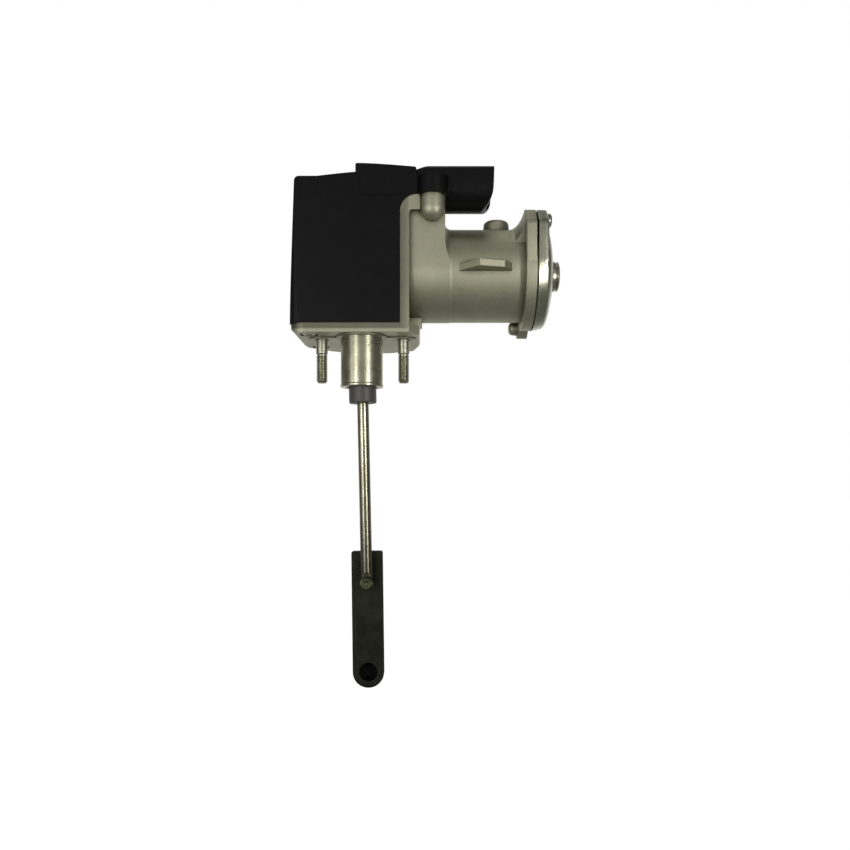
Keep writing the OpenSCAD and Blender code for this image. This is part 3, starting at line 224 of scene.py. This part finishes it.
def cast_aluminium():
    """Shot-blasted casting skin, with painted shade in its corners and on the rim."""
    material, tree, shader, place = start_finish("cast_aluminium", Metallic=1.0)
    skin = blotch(tree, place, size_mm=16.0, dark="#aeac94", light="#bbb9a1", detail=5.0)
    shade = wander(tree, place, size_mm=0.6, low=0.95, high=1.04)
    nearby = add_node(tree, "ShaderNodeAmbientOcclusion", {"Distance": CORNER_REACH}, samples=8)
    corners = add_node(tree, "ShaderNodeMapRange", {
        "Value": nearby.outputs["AO"], "From Min": 0.35, "From Max": 0.97, "To Min": CORNER_SHADE})
    # Painted shade: the corners' occlusion and the rim's mask darken the skin's colour.
    for painted_dark in (corners.outputs["Result"], rim_painted_shade(tree, place)):
        shade = add_node(tree, "ShaderNodeMath", {0: shade, 1: painted_dark}, operation="MULTIPLY").outputs[0]
    skin_with_painted_shade = add_node(tree, "ShaderNodeMix", {"Factor": 1.0, 6: skin, 7: shade},
                    data_type="RGBA", blend_type="MULTIPLY")
    tree.links.new(skin_with_painted_shade.outputs[2], shader.inputs["Base Color"])
    tree.links.new(wander(tree, place, size_mm=1.5, low=0.5, high=0.58), shader.inputs["Roughness"])
    tree.links.new(relief(tree, place, size_mm=0.7, depth_mm=0.03, edge_mm=0.5), shader.inputs["Normal"])
    return material


casting = cast_aluminium()
print(casting.name, "has", len(casting.node_tree.nodes), "nodes")

# %% [markdown]
# ## Moulded plastic and rubber
# The cover is glass-filled nylon. It leaves the mould almost black, with a fine spark-eroded texture that
# breaks up reflections, so it shows only a weak, broad sheen. That texture is really about a tenth of a
# millimetre across, and is drawn five times as coarse, so that it shows at all. The same recipe, with other
# tones and another roughness, makes the grey scraper sleeve, the rubber seals, the natural white gears and
# the dark inner mouldings.

# %% Plastic finish
def moulded(name, dark, light, rough=0.52, shine=0.5):
    """Plastic or rubber as it leaves the mould."""
    material, tree, shader, place = start_finish(name, Specular_IOR_Level=shine)
    tree.links.new(blotch(tree, place, size_mm=14.0, dark=dark, light=light), shader.inputs["Base Color"])
    tree.links.new(wander(tree, place, size_mm=2.5, low=rough - 0.05, high=rough + 0.07),
                   shader.inputs["Roughness"])
    tree.links.new(relief(tree, place, size_mm=0.5, depth_mm=0.02, edge_mm=0.5), shader.inputs["Normal"])
    return material


black_nylon = moulded("black_nylon", "#040504", "#080908", rough=0.42, shine=0.2)
print(black_nylon.name, "has", len(black_nylon.node_tree.nodes), "nodes")

# %% [markdown]
# ## Turned, drawn and ground metal
# A lathe leaves rings round the axis, and drawing a bar through a die leaves lines along it. Both are the
# same noise, squeezed hard: rings when it varies only along the axis, lines when it varies only across it.
# With no squeeze at all it is the even bloom of zinc plating or of tumbled stampings. The marks of a real
# tool lie closer together than a pixel is wide, so they are drawn coarser here, to show at all.

# %% Metal finish
RINGS_Z = (0.02, 0.02, 1.0)
RINGS_X = (1.0, 0.02, 0.02)
LINES_Z = (1.0, 1.0, 0.02)
LINES_X = (0.03, 1.0, 1.0)
EVEN = (1.0, 1.0, 1.0)


def worked_metal(name, dark, light, rough, lines=EVEN, line_mm=0.4, depth_mm=0.01, edge_mm=0.3):
    """Bare or plated metal with the marks of the tool that made it."""
    material, tree, shader, place = start_finish(name, Metallic=1.0)
    tree.links.new(blotch(tree, place, size_mm=6.0, dark=dark, light=light), shader.inputs["Base Color"])
    drawn = add_node(tree, "ShaderNodeMapping", {"Vector": place, "Scale": lines}).outputs["Vector"]
    tree.links.new(wander(tree, drawn, line_mm, low=rough - 0.04, high=rough + 0.05),
                   shader.inputs["Roughness"])
    tree.links.new(relief(tree, drawn, line_mm, depth_mm, edge_mm), shader.inputs["Normal"])
    return material


# Zinc-plated steel: pale and even, with edges kept crisp, so that each thread catches its own light.
plated_steel = worked_metal("plated_studs", "#a0a08c", "#b4b4a0", 0.35, edge_mm=0.1)
# Pressed steel sheet: smooth, with faint rings round the motor's axis that widen its highlights.
pressed_sheet = worked_metal("pressed_sheet", "#a6a792", "#b8b9a4", 0.28, RINGS_X, line_mm=0.6,
                             depth_mm=0.003)
# Drawn steel bar: faint lines along it, which keep its long upright streaks clean.
drawn_bar = worked_metal("drawn_bar", "#8f8b76", "#a39f8a", 0.26, LINES_Z, depth_mm=0.002)
print(plated_steel.name, pressed_sheet.name, drawn_bar.name, "are ready")

# %% [markdown]
# ## The push rod darker towards its lower end
# The rod is darker towards its lower end and bright under the scraper. The height along the rod, from its
# own coordinates, darkens the colour that the bar already has. It could be painted too, but two heights and a
# shade are quicker to adjust than a painted picture.

# %% Darken the rod downwards
# The rod's colour darkens towards its lower end, between these two heights.
ROD_DARK_Z = (-100 * MM, -42 * MM)
ROD_DARK_SHADE = 0.3

bar_tree = drawn_bar.node_tree
bar_colour = bar_tree.nodes["Principled BSDF"].inputs["Base Color"]
bar_place = bar_tree.nodes["Texture Coordinate"].outputs["Object"]
bar_height = add_node(bar_tree, "ShaderNodeSeparateXYZ", {"Vector": bar_place})
rod_darkening = add_node(bar_tree, "ShaderNodeMapRange", {
    "Value": bar_height.outputs["Z"], "From Min": ROD_DARK_Z[0], "From Max": ROD_DARK_Z[1], "To Min": ROD_DARK_SHADE})
rod_darkened = add_node(bar_tree, "ShaderNodeMix", {
    "Factor": 1.0, 6: bar_colour.links[0].from_socket, 7: rod_darkening.outputs["Result"]},
    data_type="RGBA", blend_type="MULTIPLY")
bar_tree.links.new(rod_darkened.outputs[2], bar_colour)
print("soot fades over", round((ROD_DARK_Z[1] - ROD_DARK_Z[0]) / MM), "mm of the rod")

# %% [markdown]
# ## Which piece wears which finish
# Each entry names a finish and the CAD pieces that wear it. The CAD meshes stay exactly as they are: only
# their material slot changes. The outside comes first, then the drive inside, which shows only when the
# cover is hidden or the model is cut open.

# %% Dress the pieces that show
def dress(material, *node_names):
    """Give CAD pieces a finish."""
    for name in node_names:
        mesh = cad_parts[name].data
        mesh.materials.clear()
        mesh.materials.append(material)
    print(material.name, "on", ", ".join(node_names))


dress(casting, "housing")
dress(black_nylon, "cover")
dress(drawn_bar, "push_rod")
dress(plated_steel, "studs")
dress(pressed_sheet, "end_cap")
# Grey plastic: plain and matt beside the metal round it.
dress(moulded("grey_scraper", "#54524c", "#5f5d56", rough=0.45), "guide_sleeve")
# Fine-turned steel: rings so shallow that they only pull the lamps into bright upright streaks.
dress(worked_metal("turned_steel", "#a39f88", "#b5b19a", 0.3, RINGS_Z, line_mm=0.3, depth_mm=0.0006),
      "guide_bush")
# Zinc-plated steel: an even, slightly dull grey.
dress(worked_metal("plated_screws", "#95957f", "#acac97", 0.32), "end_cap_screws", "cover_screws",
      "base_screws")
# Black-oxide steel: dark, with a soft metallic sheen at its edges.
dress(worked_metal("black_oxide", "#282a21", "#34362d", 0.45), "link_plate")
# Oiled steel rivet: brown-grey, a little glossier than the plate that it holds.
dress(worked_metal("oiled_rivet", "#4c4f37", "#5f624a", 0.34), "link_pin")
# Soft rubber: black, with hardly any shine.
dress(moulded("rubber_cap", "#050505", "#090908", rough=0.7, shine=0.15), "link_cap")
# Pressed fibre paper: tan and matt, a thin pale line between flange and cap.
dress(moulded("paper_gasket", "#8c7f66", "#9d9078", rough=0.8, shine=0.3), "end_cap_gasket")
# Moulded rubber: a dull dark grey.
dress(moulded("black_rubber", "#121211", "#1a1a18", rough=0.7), "cover_seal")
# Tinned brass: bright, with the yellow showing through.
dress(worked_metal("tinned_contacts", "#b8a35e", "#cdb975", 0.25), "terminal_pins", "sensor_leads")

# %% Dress the drive inside
# Zinc-coated can: a cool, even grey.
dress(worked_metal("zinc_can", "#8b8d8c", "#9b9d9a", 0.35), "motor_can")
# Tumbled stampings: middle grey, with a satin look and no direction.
dress(worked_metal("stamped_steel", "#7d7d79", "#8d8d88", 0.4), "gear_bracket", "crank_arm", "yoke",
      "bracket_screws", "retaining_ring")
# Ground steel: the brightest and sharpest reflections of all.
dress(worked_metal("ground_shafts", "#b4b4b2", "#c6c6c3", 0.18, RINGS_X, line_mm=0.2), "motor_shaft",
      "idler_shaft", "output_shaft", "crank_pin", "guide_ball")
# Sintered bronze: brown and dull, because its pores hold oil.
dress(worked_metal("sintered_bronze", "#8f6c3d", "#a58150", 0.5), "front_bearing", "rear_bearing",
      "output_bushes")
# Stacked core sheets: a dark grey, with the sheets' edges as rings.
dress(worked_metal("core_sheets", "#6a6a6c", "#7c7c7e", 0.45, RINGS_X, line_mm=0.5, depth_mm=0.04),
      "armature_core")
# Enamelled copper wire: red-brown and glossy, with the wires as lines.
dress(worked_metal("enamelled_wire", "#8c4a1f", "#b0652f", 0.3, LINES_X, line_mm=0.5, depth_mm=0.15),
      "armature_windings")
# Turned copper: warm, with fine rings where the brushes run.
dress(worked_metal("commutator_copper", "#a8663c", "#c07d50", 0.3, RINGS_X), "commutator")
# Cut brass: yellow and fairly bright.
dress(worked_metal("cut_brass", "#b08a3f", "#c7a45a", 0.3), "motor_pinion")
# Nickel-plated magnets: smooth, and nearly a mirror.
dress(worked_metal("nickel_magnets", "#8f8d89", "#a3a19c", 0.2), "position_magnets")
# Pressed ferrite: charcoal and matt, as fired ceramic is.
dress(moulded("ferrite", "#242427", "#303034", rough=0.6), "motor_magnets")
# Uncoloured polyamide: ivory, with a soft sheen.
dress(moulded("natural_polyamide", "#c9c2a6", "#d6d0b6", rough=0.42), "idler_gear", "output_gear")
# Phenolic moulding: a brown that is almost black.
dress(moulded("phenolic", "#1d1a17", "#272320", rough=0.5), "brush_holder", "magnet_holder")
# Pressed carbon: black-grey and dull.
dress(moulded("pressed_carbon", "#191818", "#262524", rough=0.6), "brushes")
# Moulded chip housing: plain black.
dress(moulded("chip_resin", "#111112", "#1a1a1b", rough=0.5), "hall_sensor")
# Solder mask: dark green, and the glossiest of the plastics.
dress(moulded("solder_mask", "#0c3a1c", "#124a26", rough=0.3), "circuit_board")

# %% [markdown]
# ## The rib on the barrel
# The rib is the thin crest that stands out in front of the barrel. On the real casting it is drafted: its
# outer edge sits a little higher than its root, with a deep shadow under it. Only the points at the four
# corners of the rib's outer edge are lifted, on a copy of the housing's mesh. A copy of loose triangles is
# usually merged first. This one is left plain, because merged points would get new normals, which smear over
# the long flat triangles, while the plain copy keeps the CAD model's own.

# %% Lift the rib
RIB_X = (45 * MM, 62 * MM)
RIB_Z = (26 * MM, 30 * MM)
BARREL_FRONT = -10 * MM
RIB_LIFT = 0.7 * MM

casting_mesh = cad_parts["housing"].data.copy()
casting_mesh.name = "cast_housing"
rib_edge = [point for point in casting_mesh.vertices if point.co.y < BARREL_FRONT
            and RIB_X[0] < point.co.x < RIB_X[1] and RIB_Z[0] < point.co.z < RIB_Z[1]]
for point in rib_edge:
    point.co.z += RIB_LIFT
cast_housing = bpy.data.objects.new("cast_housing", casting_mesh)
bpy.context.scene.collection.objects.link(cast_housing)
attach(cast_housing, "frame")
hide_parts("housing")
print(len(rib_edge), "points of the rib lifted")

# %% [markdown]
# ## Threads on the studs
# The CAD studs are plain cylinders, because a modelled thread would only slow the simulation down. On the
# real part an M5 thread with a pitch of 0.8 mm covers the lower two thirds. A V-shaped line is one pitch
# high, so when it is spun round the axis and drops by one pitch each turn, its lower end meets its own upper
# end, and merging those points closes the helix. A plain core and shank fill it, and points near the tip are
# drawn in to a lead-in cone. This keeps a true helix, where a stack of rings would show.

# %% Spin a profile or a thread
STEPS_PER_TURN = 24
PITCH = 0.8 * MM


def revolve(bm, profile, steps=32):
    """Spin a profile of (radius, z) points full circle round the Z axis."""
    corners = [bm.verts.new((radius, 0, z)) for radius, z in profile]
    edges = [bm.edges.new(pair) for pair in zip(corners, corners[1:])]
    bmesh.ops.spin(bm, geom=corners + edges, cent=(0, 0, 0), axis=(0, 0, 1), dvec=(0, 0, 0),
                   angle=math.tau, steps=steps, use_merge=True, use_duplicate=False)


def thread(bm, top, bottom, crest, root, pitch):
    """Spin a V of one pitch down a helix between two heights."""
    turns = int((top - bottom) / pitch)
    steps = turns * STEPS_PER_TURN
    outline = ((root, 0, top), (crest, 0, top - pitch / 2), (root, 0, top - pitch))
    corners = [bm.verts.new(at) for at in outline]
    edges = [bm.edges.new(pair) for pair in zip(corners, corners[1:])]
    bmesh.ops.spin(bm, geom=corners + edges, cent=(0, 0, 0), axis=(0, 0, 1),
                   dvec=(0, 0, -pitch / STEPS_PER_TURN), angle=math.tau * turns, steps=steps,
                   use_merge=False, use_duplicate=False)
    return turns


print("each step of the thread drops", round(PITCH / STEPS_PER_TURN / MM, 3), "mm")

# %% Store a bmesh as an object
SAME_POINT = 0.001 * MM


def stored(bm, name):
    """Store a bmesh as an object and free it."""
    mesh = bpy.data.meshes.new(name)
    bm.to_mesh(mesh)
    bm.free()
    piece = bpy.data.objects.new(name, mesh)
    bpy.context.scene.collection.objects.link(piece)
    return piece


def closed_piece(bm, name):
    """Merge, close and orient a bmesh, and store it as an object."""
    bmesh.ops.remove_doubles(bm, verts=bm.verts, dist=SAME_POINT)
    bmesh.ops.holes_fill(bm, edges=[edge for edge in bm.edges if edge.is_boundary], sides=0)
    bmesh.ops.recalc_face_normals(bm, faces=bm.faces)
    return stored(bm, name)


print("points nearer than", round(SAME_POINT / MM, 3), "mm become one")

# %% Cut one threaded stud
STUD_RADIUS = 2.5 * MM
THREAD_DEPTH = 0.45 * MM
THREAD_TOP = -6.5 * MM
CONE_TIP_RADIUS = STUD_RADIUS - 0.7 * MM
CORE_TIP_RADIUS = STUD_RADIUS - 0.8 * MM
LEAD_IN = 0.5 * MM
BARE_TIP = 0.4 * MM
stud_low, stud_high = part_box("studs")
tip = stud_low.z
core = STUD_RADIUS - THREAD_DEPTH
core_skin = core + 0.02 * MM

stud_form = bmesh.new()
turns = thread(stud_form, THREAD_TOP, tip + BARE_TIP, STUD_RADIUS, core, PITCH)
for point in stud_form.verts:
    reach = math.hypot(point.co.x, point.co.y)
    cone = CONE_TIP_RADIUS + (point.co.z - tip)
    if reach > cone:
        point.co.x *= cone / reach
        point.co.y *= cone / reach
revolve(stud_form, [
    (0, tip), (CORE_TIP_RADIUS, tip), (core_skin, tip + LEAD_IN), (core_skin, THREAD_TOP),
    (STUD_RADIUS, THREAD_TOP + LEAD_IN), (STUD_RADIUS, stud_high.z), (0, stud_high.z)])
print(turns, "turns of thread on one stud")

# %% Place both studs
half_width = (stud_high.y - stud_low.y) / 2
middle_y = (stud_low.y + stud_high.y) / 2
left_stud = Vector((stud_low.x + half_width, middle_y, 0))
right_stud = Vector((stud_high.x - half_width, middle_y, 0))
bmesh.ops.translate(stud_form, verts=stud_form.verts, vec=left_stud)
second = bmesh.ops.duplicate(stud_form, geom=stud_form.verts[:] + stud_form.edges[:] + stud_form.faces[:])
second_points = [part for part in second["geom"] if isinstance(part, bmesh.types.BMVert)]
bmesh.ops.translate(stud_form, verts=second_points, vec=right_stud - left_stud)
threaded = closed_piece(stud_form, "threaded_studs")
threaded.data.materials.append(plated_steel)
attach(threaded, "frame")
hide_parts("studs")
print("both studs:", len(threaded.data.polygons), "faces")

# %% [markdown]
# ## The front of the motor flange
# The flange and the end cap share one outline: a circle, with a flat front where it runs up to the ear that
# holds the screw. The outline is the convex hull of a few round discs, which is also how a toolmaker draws
# it with arcs and tangents. The hull alone would fill the motor's place behind it, so a Boolean modifier
# cuts the bore out, and the two helper objects go again with their meshes.

# %% Measure the outline
MOTOR = Vector((0, 11, 29)) * MM
FACING_X = Matrix.Rotation(math.radians(90), 4, "Y")
FLANGE_RADIUS = 23.6 * MM
FLANGE_X = (69.55 * MM, 73.85 * MM)
CAP_X = 74.5 * MM
ON_CAP = Matrix.Translation(MOTOR + Vector((CAP_X, 0, 0))) @ FACING_X
EAR_RADIUS = 4.6 * MM
EAR_THICKNESS = 4.4 * MM
EAR_ROOT = 0.55
FRONT_EAR = Vector((0, -3.225, 49.315)) * MM
BACK_EAR = Vector((0, 33.476, 18.519)) * MM
FRONT_Y = MOTOR.y - FLANGE_RADIUS

# In this order: the ear, the flat front's upper end, its lower end, and the root of the ear.
front_discs = [
    (FRONT_EAR, EAR_RADIUS - 0.1 * MM),
    (Vector((0, FRONT_Y + 4 * MM, 45.2 * MM)), 4 * MM),
    (Vector((0, FRONT_Y + 8 * MM, 31 * MM)), 8.03 * MM),
    (MOTOR.lerp(FRONT_EAR, EAR_ROOT), 2 * EAR_RADIUS)]
back_discs = [(BACK_EAR, EAR_RADIUS), (MOTOR.lerp(BACK_EAR, EAR_ROOT), 2 * EAR_RADIUS)]
print("flat front at y =", round(FRONT_Y / MM, 1), "mm")


# %% A plate round some discs
def hull_of(discs, x_left, x_right, edge):
    """A plate across X whose outline wraps round discs of (centre, radius), with rounded right edges."""
    plate = bmesh.new()
    for centre, radius in discs:
        middle = Matrix.Translation(Vector(((x_left + x_right) / 2, centre.y, centre.z)))
        bmesh.ops.create_cone(plate, cap_ends=False, segments=64, radius1=radius, radius2=radius,
                              depth=x_right - x_left, matrix=middle @ FACING_X)
    bmesh.ops.delete(plate, geom=plate.edges[:], context="EDGES_FACES")
    hull = bmesh.ops.convex_hull(plate, input=plate.verts[:])
    unused = hull["geom_interior"] + hull["geom_unused"]
    inner_points = {part for part in unused if isinstance(part, bmesh.types.BMVert)}
    bmesh.ops.delete(plate, geom=list(inner_points), context="VERTS")
    bmesh.ops.dissolve_limit(plate, angle_limit=math.radians(0.5), verts=plate.verts[:],
                             edges=plate.edges[:])
    rims = [line for line in plate.edges if all(abs(end.co.x - x_right) < 0.01 * MM for end in line.verts)]
    bmesh.ops.bevel(plate, geom=rims, offset=edge, offset_type="OFFSET", affect="EDGES", segments=3,
                    profile=0.5, material=-1)
    return plate


print("front outline: hull of", len(front_discs), "discs, back ear:", len(back_discs))

# %% Bore a plate and add it to a form
BORE_RADIUS = 17.0 * MM


def plate_round(bm, discs, x_left, x_right, edge):
    """Add a plate round some discs to a bmesh, with the motor's bore cut out of it."""
    whole = stored(hull_of(discs, x_left, x_right, edge), "plate")
    bore = bmesh.new()
    bmesh.ops.create_cone(bore, cap_ends=True, segments=96, radius1=BORE_RADIUS, radius2=BORE_RADIUS,
                          depth=4 * EAR_THICKNESS, matrix=ON_CAP)
    cutter = stored(bore, "bore")
    cut = whole.modifiers.new("bore", "BOOLEAN")
    cut.object = cutter
    cut.operation = "DIFFERENCE"
    cut.solver = "EXACT"
    bpy.context.view_layer.update()
    bm.from_object(whole, bpy.context.evaluated_depsgraph_get())
    for spare in (whole, cutter):
        bpy.data.meshes.remove(spare.data)


def smooth_piece(bm, name, material):
    """Store a bmesh as a piece that is smooth up to its sharp edges."""
    piece = closed_piece(bm, name)
    piece.data.materials.append(material)
    piece.data.shade_smooth()
    piece.data.set_sharp_from_angle(angle=math.radians(30))
    print(name, "has", len(piece.data.polygons), "faces")
    return piece


print("bore for the motor:", round(2 * BORE_RADIUS / MM), "mm wide")

# %% Make the flange's flat front
flange_form = bmesh.new()
plate_round(flange_form, front_discs, *FLANGE_X, edge=0.4 * MM)
flange_face = smooth_piece(flange_form, "flange_face", casting)
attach(flange_face, "frame")

# %% [markdown]
# ## The stamped end cap
# The cap is stamped from sheet, so its side leans in a little for the draft, and it rolls over into a shallow
# dome with a stepped boss for the rear bearing. One closed profile runs along its outside from the rim to the
# axis and along its inside back again, and is spun round the motor's axis. The inside is hollowed only as far
# as the motor and its bearing need, because the rest never shows. The two ears are plates like the flange's.

# %% Spin the cap and add its ears
CAP_OUTSIDE = [(17, 0), (23.6, 0), (23.5, 0.5), (22.9, 3.8), (22.7, 4.3), (22.2, 4.9), (21.2, 5.5), (19, 6.2),
               (14, 7.3), (7.8, 7.9), (6.9, 8.1), (6.6, 8.5), (6.6, 9.6), (6.5, 9.8), (6.1, 9.9), (6.0, 10.2),
               (6.1, 10.5), (6.4, 10.6), (6.4, 11.1), (6.1, 11.4), (5.6, 11.6), (0, 11.6)]
CAP_INSIDE = [(0, 10.2), (5.42, 10.2), (5.42, 6.5), (7.8, 6.5), (16.6, 4.6), (17, 3.3), (17, 0)]

cap_form = bmesh.new()
revolve(cap_form, [(radius * MM, height * MM) for radius, height in CAP_OUTSIDE + CAP_INSIDE], steps=96)
bmesh.ops.transform(cap_form, verts=cap_form.verts, matrix=ON_CAP)
for discs in (front_discs, back_discs):
    plate_round(cap_form, discs, CAP_X + 0.05 * MM, CAP_X + EAR_THICKNESS, edge=1.2 * MM)
stamped_cap = smooth_piece(cap_form, "stamped_cap", pressed_sheet)
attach(stamped_cap, "frame")
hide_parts("end_cap")

# %% [markdown]
# ## The world
# To the eye the world is plain white all round. In reflections it is white behind the object, about half as
# bright behind the camera and dark at the sides, as a real room is, so that the black cover stays black and
# round metal gets its dark edges. For diffuse light it is weak, so that the lamps shape the object.

# %% Make the world
AMBIENT = 0.08
ROOM_LEVELS = ((0.0, 0.48), (0.3, 0.14), (0.7, 0.14), (0.97, 1.0))

world = bpy.data.worlds.new("studio")
bpy.context.scene.world = world
world.use_nodes = True
sky = world.node_tree
backdrop = sky.nodes["Background"]
backdrop.inputs["Color"].default_value = (1, 1, 1, 1)
rays = sky.nodes.new("ShaderNodeLightPath")
sky_place = sky.nodes.new("ShaderNodeTexCoord").outputs["Generated"]
direction = add_node(sky, "ShaderNodeSeparateXYZ", {"Vector": sky_place})
depth = add_node(sky, "ShaderNodeMapRange", {"Value": direction.outputs["Y"], "From Min": -1.0})
room = add_node(sky, "ShaderNodeValToRGB", {"Fac": depth.outputs["Result"]})
while len(room.color_ramp.elements) < len(ROOM_LEVELS):
    room.color_ramp.elements.new(0.5)
for stop, (position, level) in zip(room.color_ramp.elements, ROOM_LEVELS):
    stop.position = position
    stop.color = (level, level, level, 1.0)
in_metal = add_node(sky, "ShaderNodeMath", {
    0: rays.outputs["Is Glossy Ray"], 1: rays.outputs["Is Transmission Ray"]}, operation="MAXIMUM")
unseen = add_node(sky, "ShaderNodeMix", {
    "Factor": in_metal.outputs[0], 2: AMBIENT, 3: room.outputs["Color"]})
strength = add_node(sky, "ShaderNodeMix", {
    "Factor": rays.outputs["Is Camera Ray"], 2: unseen.outputs[0], 3: 1.0})
sky.links.new(strength.outputs[0], backdrop.inputs["Strength"])
print("ambient level:", AMBIENT, "levels in reflections:", ROOM_LEVELS)

# %% [markdown]
# ## The floor
# The floor is matt paper. It lies 6 mm below the link, because the drive can push the rod 5.6 mm further
# down. Where the eye looks at it, its own light is added, so that it reads as white as the world behind it
# and still keeps a soft shadow. In reflections that light fades towards the camera, where the room is dark,
# so that the underside of the barrel stays dark too.

# %% Lay the floor
FLOOR_GAP = 6.0 * MM
bpy.ops.mesh.primitive_plane_add(size=6.0, location=(0, 0, cad_low.z - FLOOR_GAP))
floor = bpy.context.object
floor.name = "floor"
paper, paper_tree, paper_shader, paper_place = start_finish("floor_paper", Roughness=0.9)
paper_colour = blotch(paper_tree, paper_place, size_mm=40.0, dark="#7a7a78", light="#7e7e7c")
paper_tree.links.new(paper_colour, paper_shader.inputs["Base Color"])
floor.data.materials.append(paper)
print("floor at z =", round((cad_low.z - FLOOR_GAP) / MM, 1), "mm")

# %% Light the floor for the eye
FLOOR_LIGHT = 0.97
FADE_Y = (0.05, 0.6)
FADE_SHADE = 0.12

looks = paper_tree.nodes.new("ShaderNodeLightPath")
spot = add_node(paper_tree, "ShaderNodeSeparateXYZ", {"Vector": paper_place})
behind = add_node(paper_tree, "ShaderNodeMapRange", {
    "Value": spot.outputs["Y"], "From Min": FADE_Y[0], "From Max": FADE_Y[1], "To Min": FADE_SHADE})
reflected = add_node(paper_tree, "ShaderNodeMath", {
    0: looks.outputs["Is Glossy Ray"], 1: looks.outputs["Is Transmission Ray"]}, operation="MAXIMUM")
mirrored = add_node(paper_tree, "ShaderNodeMath", {
    0: reflected.outputs[0], 1: behind.outputs["Result"]}, operation="MULTIPLY")
seen = add_node(paper_tree, "ShaderNodeMath", {
    0: looks.outputs["Is Camera Ray"], 1: mirrored.outputs[0]}, operation="MAXIMUM")
own_light = add_node(paper_tree, "ShaderNodeMath", {0: seen.outputs[0], 1: FLOOR_LIGHT}, operation="MULTIPLY")
paper_shader.inputs["Emission Color"].default_value = (1, 1, 1, 1)
paper_tree.links.new(own_light.outputs[0], paper_shader.inputs["Emission Strength"])
print("the floor's own light:", FLOOR_LIGHT, "for the eye, fading to", FADE_SHADE, "in reflections")

# %% [markdown]
# ## The lamps
# Bright upright streaks on the bush and the rod show that the photograph was lit by upright strips on both
# sides of the camera, at about its height. Each streak gives the angle of one strip, because a round bar
# mirrors each direction in one place only. A weaker strip stands farther out on the left, and a faint square
# lamp above gives the top of the cover some form without lighting its front.

# %% Set the lamps
def soft_lamp(name, place_mm, aim_mm, width_mm, height_mm, watts):
    """A rectangular soft lamp that faces a point."""
    data = bpy.data.lights.new(name, "AREA")
    data.shape = "RECTANGLE"
    data.size = width_mm * MM
    data.size_y = height_mm * MM
    data.energy = watts
    lamp = bpy.data.objects.new(name, data)
    lamp.location = Vector(place_mm) * MM
    toward = (Vector(aim_mm) - Vector(place_mm)).normalized()
    lamp.rotation_euler = toward.to_track_quat("-Z", "Y").to_euler()
    bpy.context.scene.collection.objects.link(lamp)
    print(name, "at", place_mm, "with", watts, "W")


UNDER_HOUSING = (20, 0, -20)
soft_lamp("left_lamp", (-282, -530, -110), UNDER_HOUSING, 90, 380, 1.4)
soft_lamp("side_lamp", (-473, -369, -110), UNDER_HOUSING, 120, 380, 0.5)
soft_lamp("right_lamp", (374, -469, -110), UNDER_HOUSING, 90, 380, 1.9)
soft_lamp("top_lamp", (20, 20, 420), (20, 20, 40), 200, 200, 0.15)
bpy.context.scene.view_settings.view_transform = "Standard"
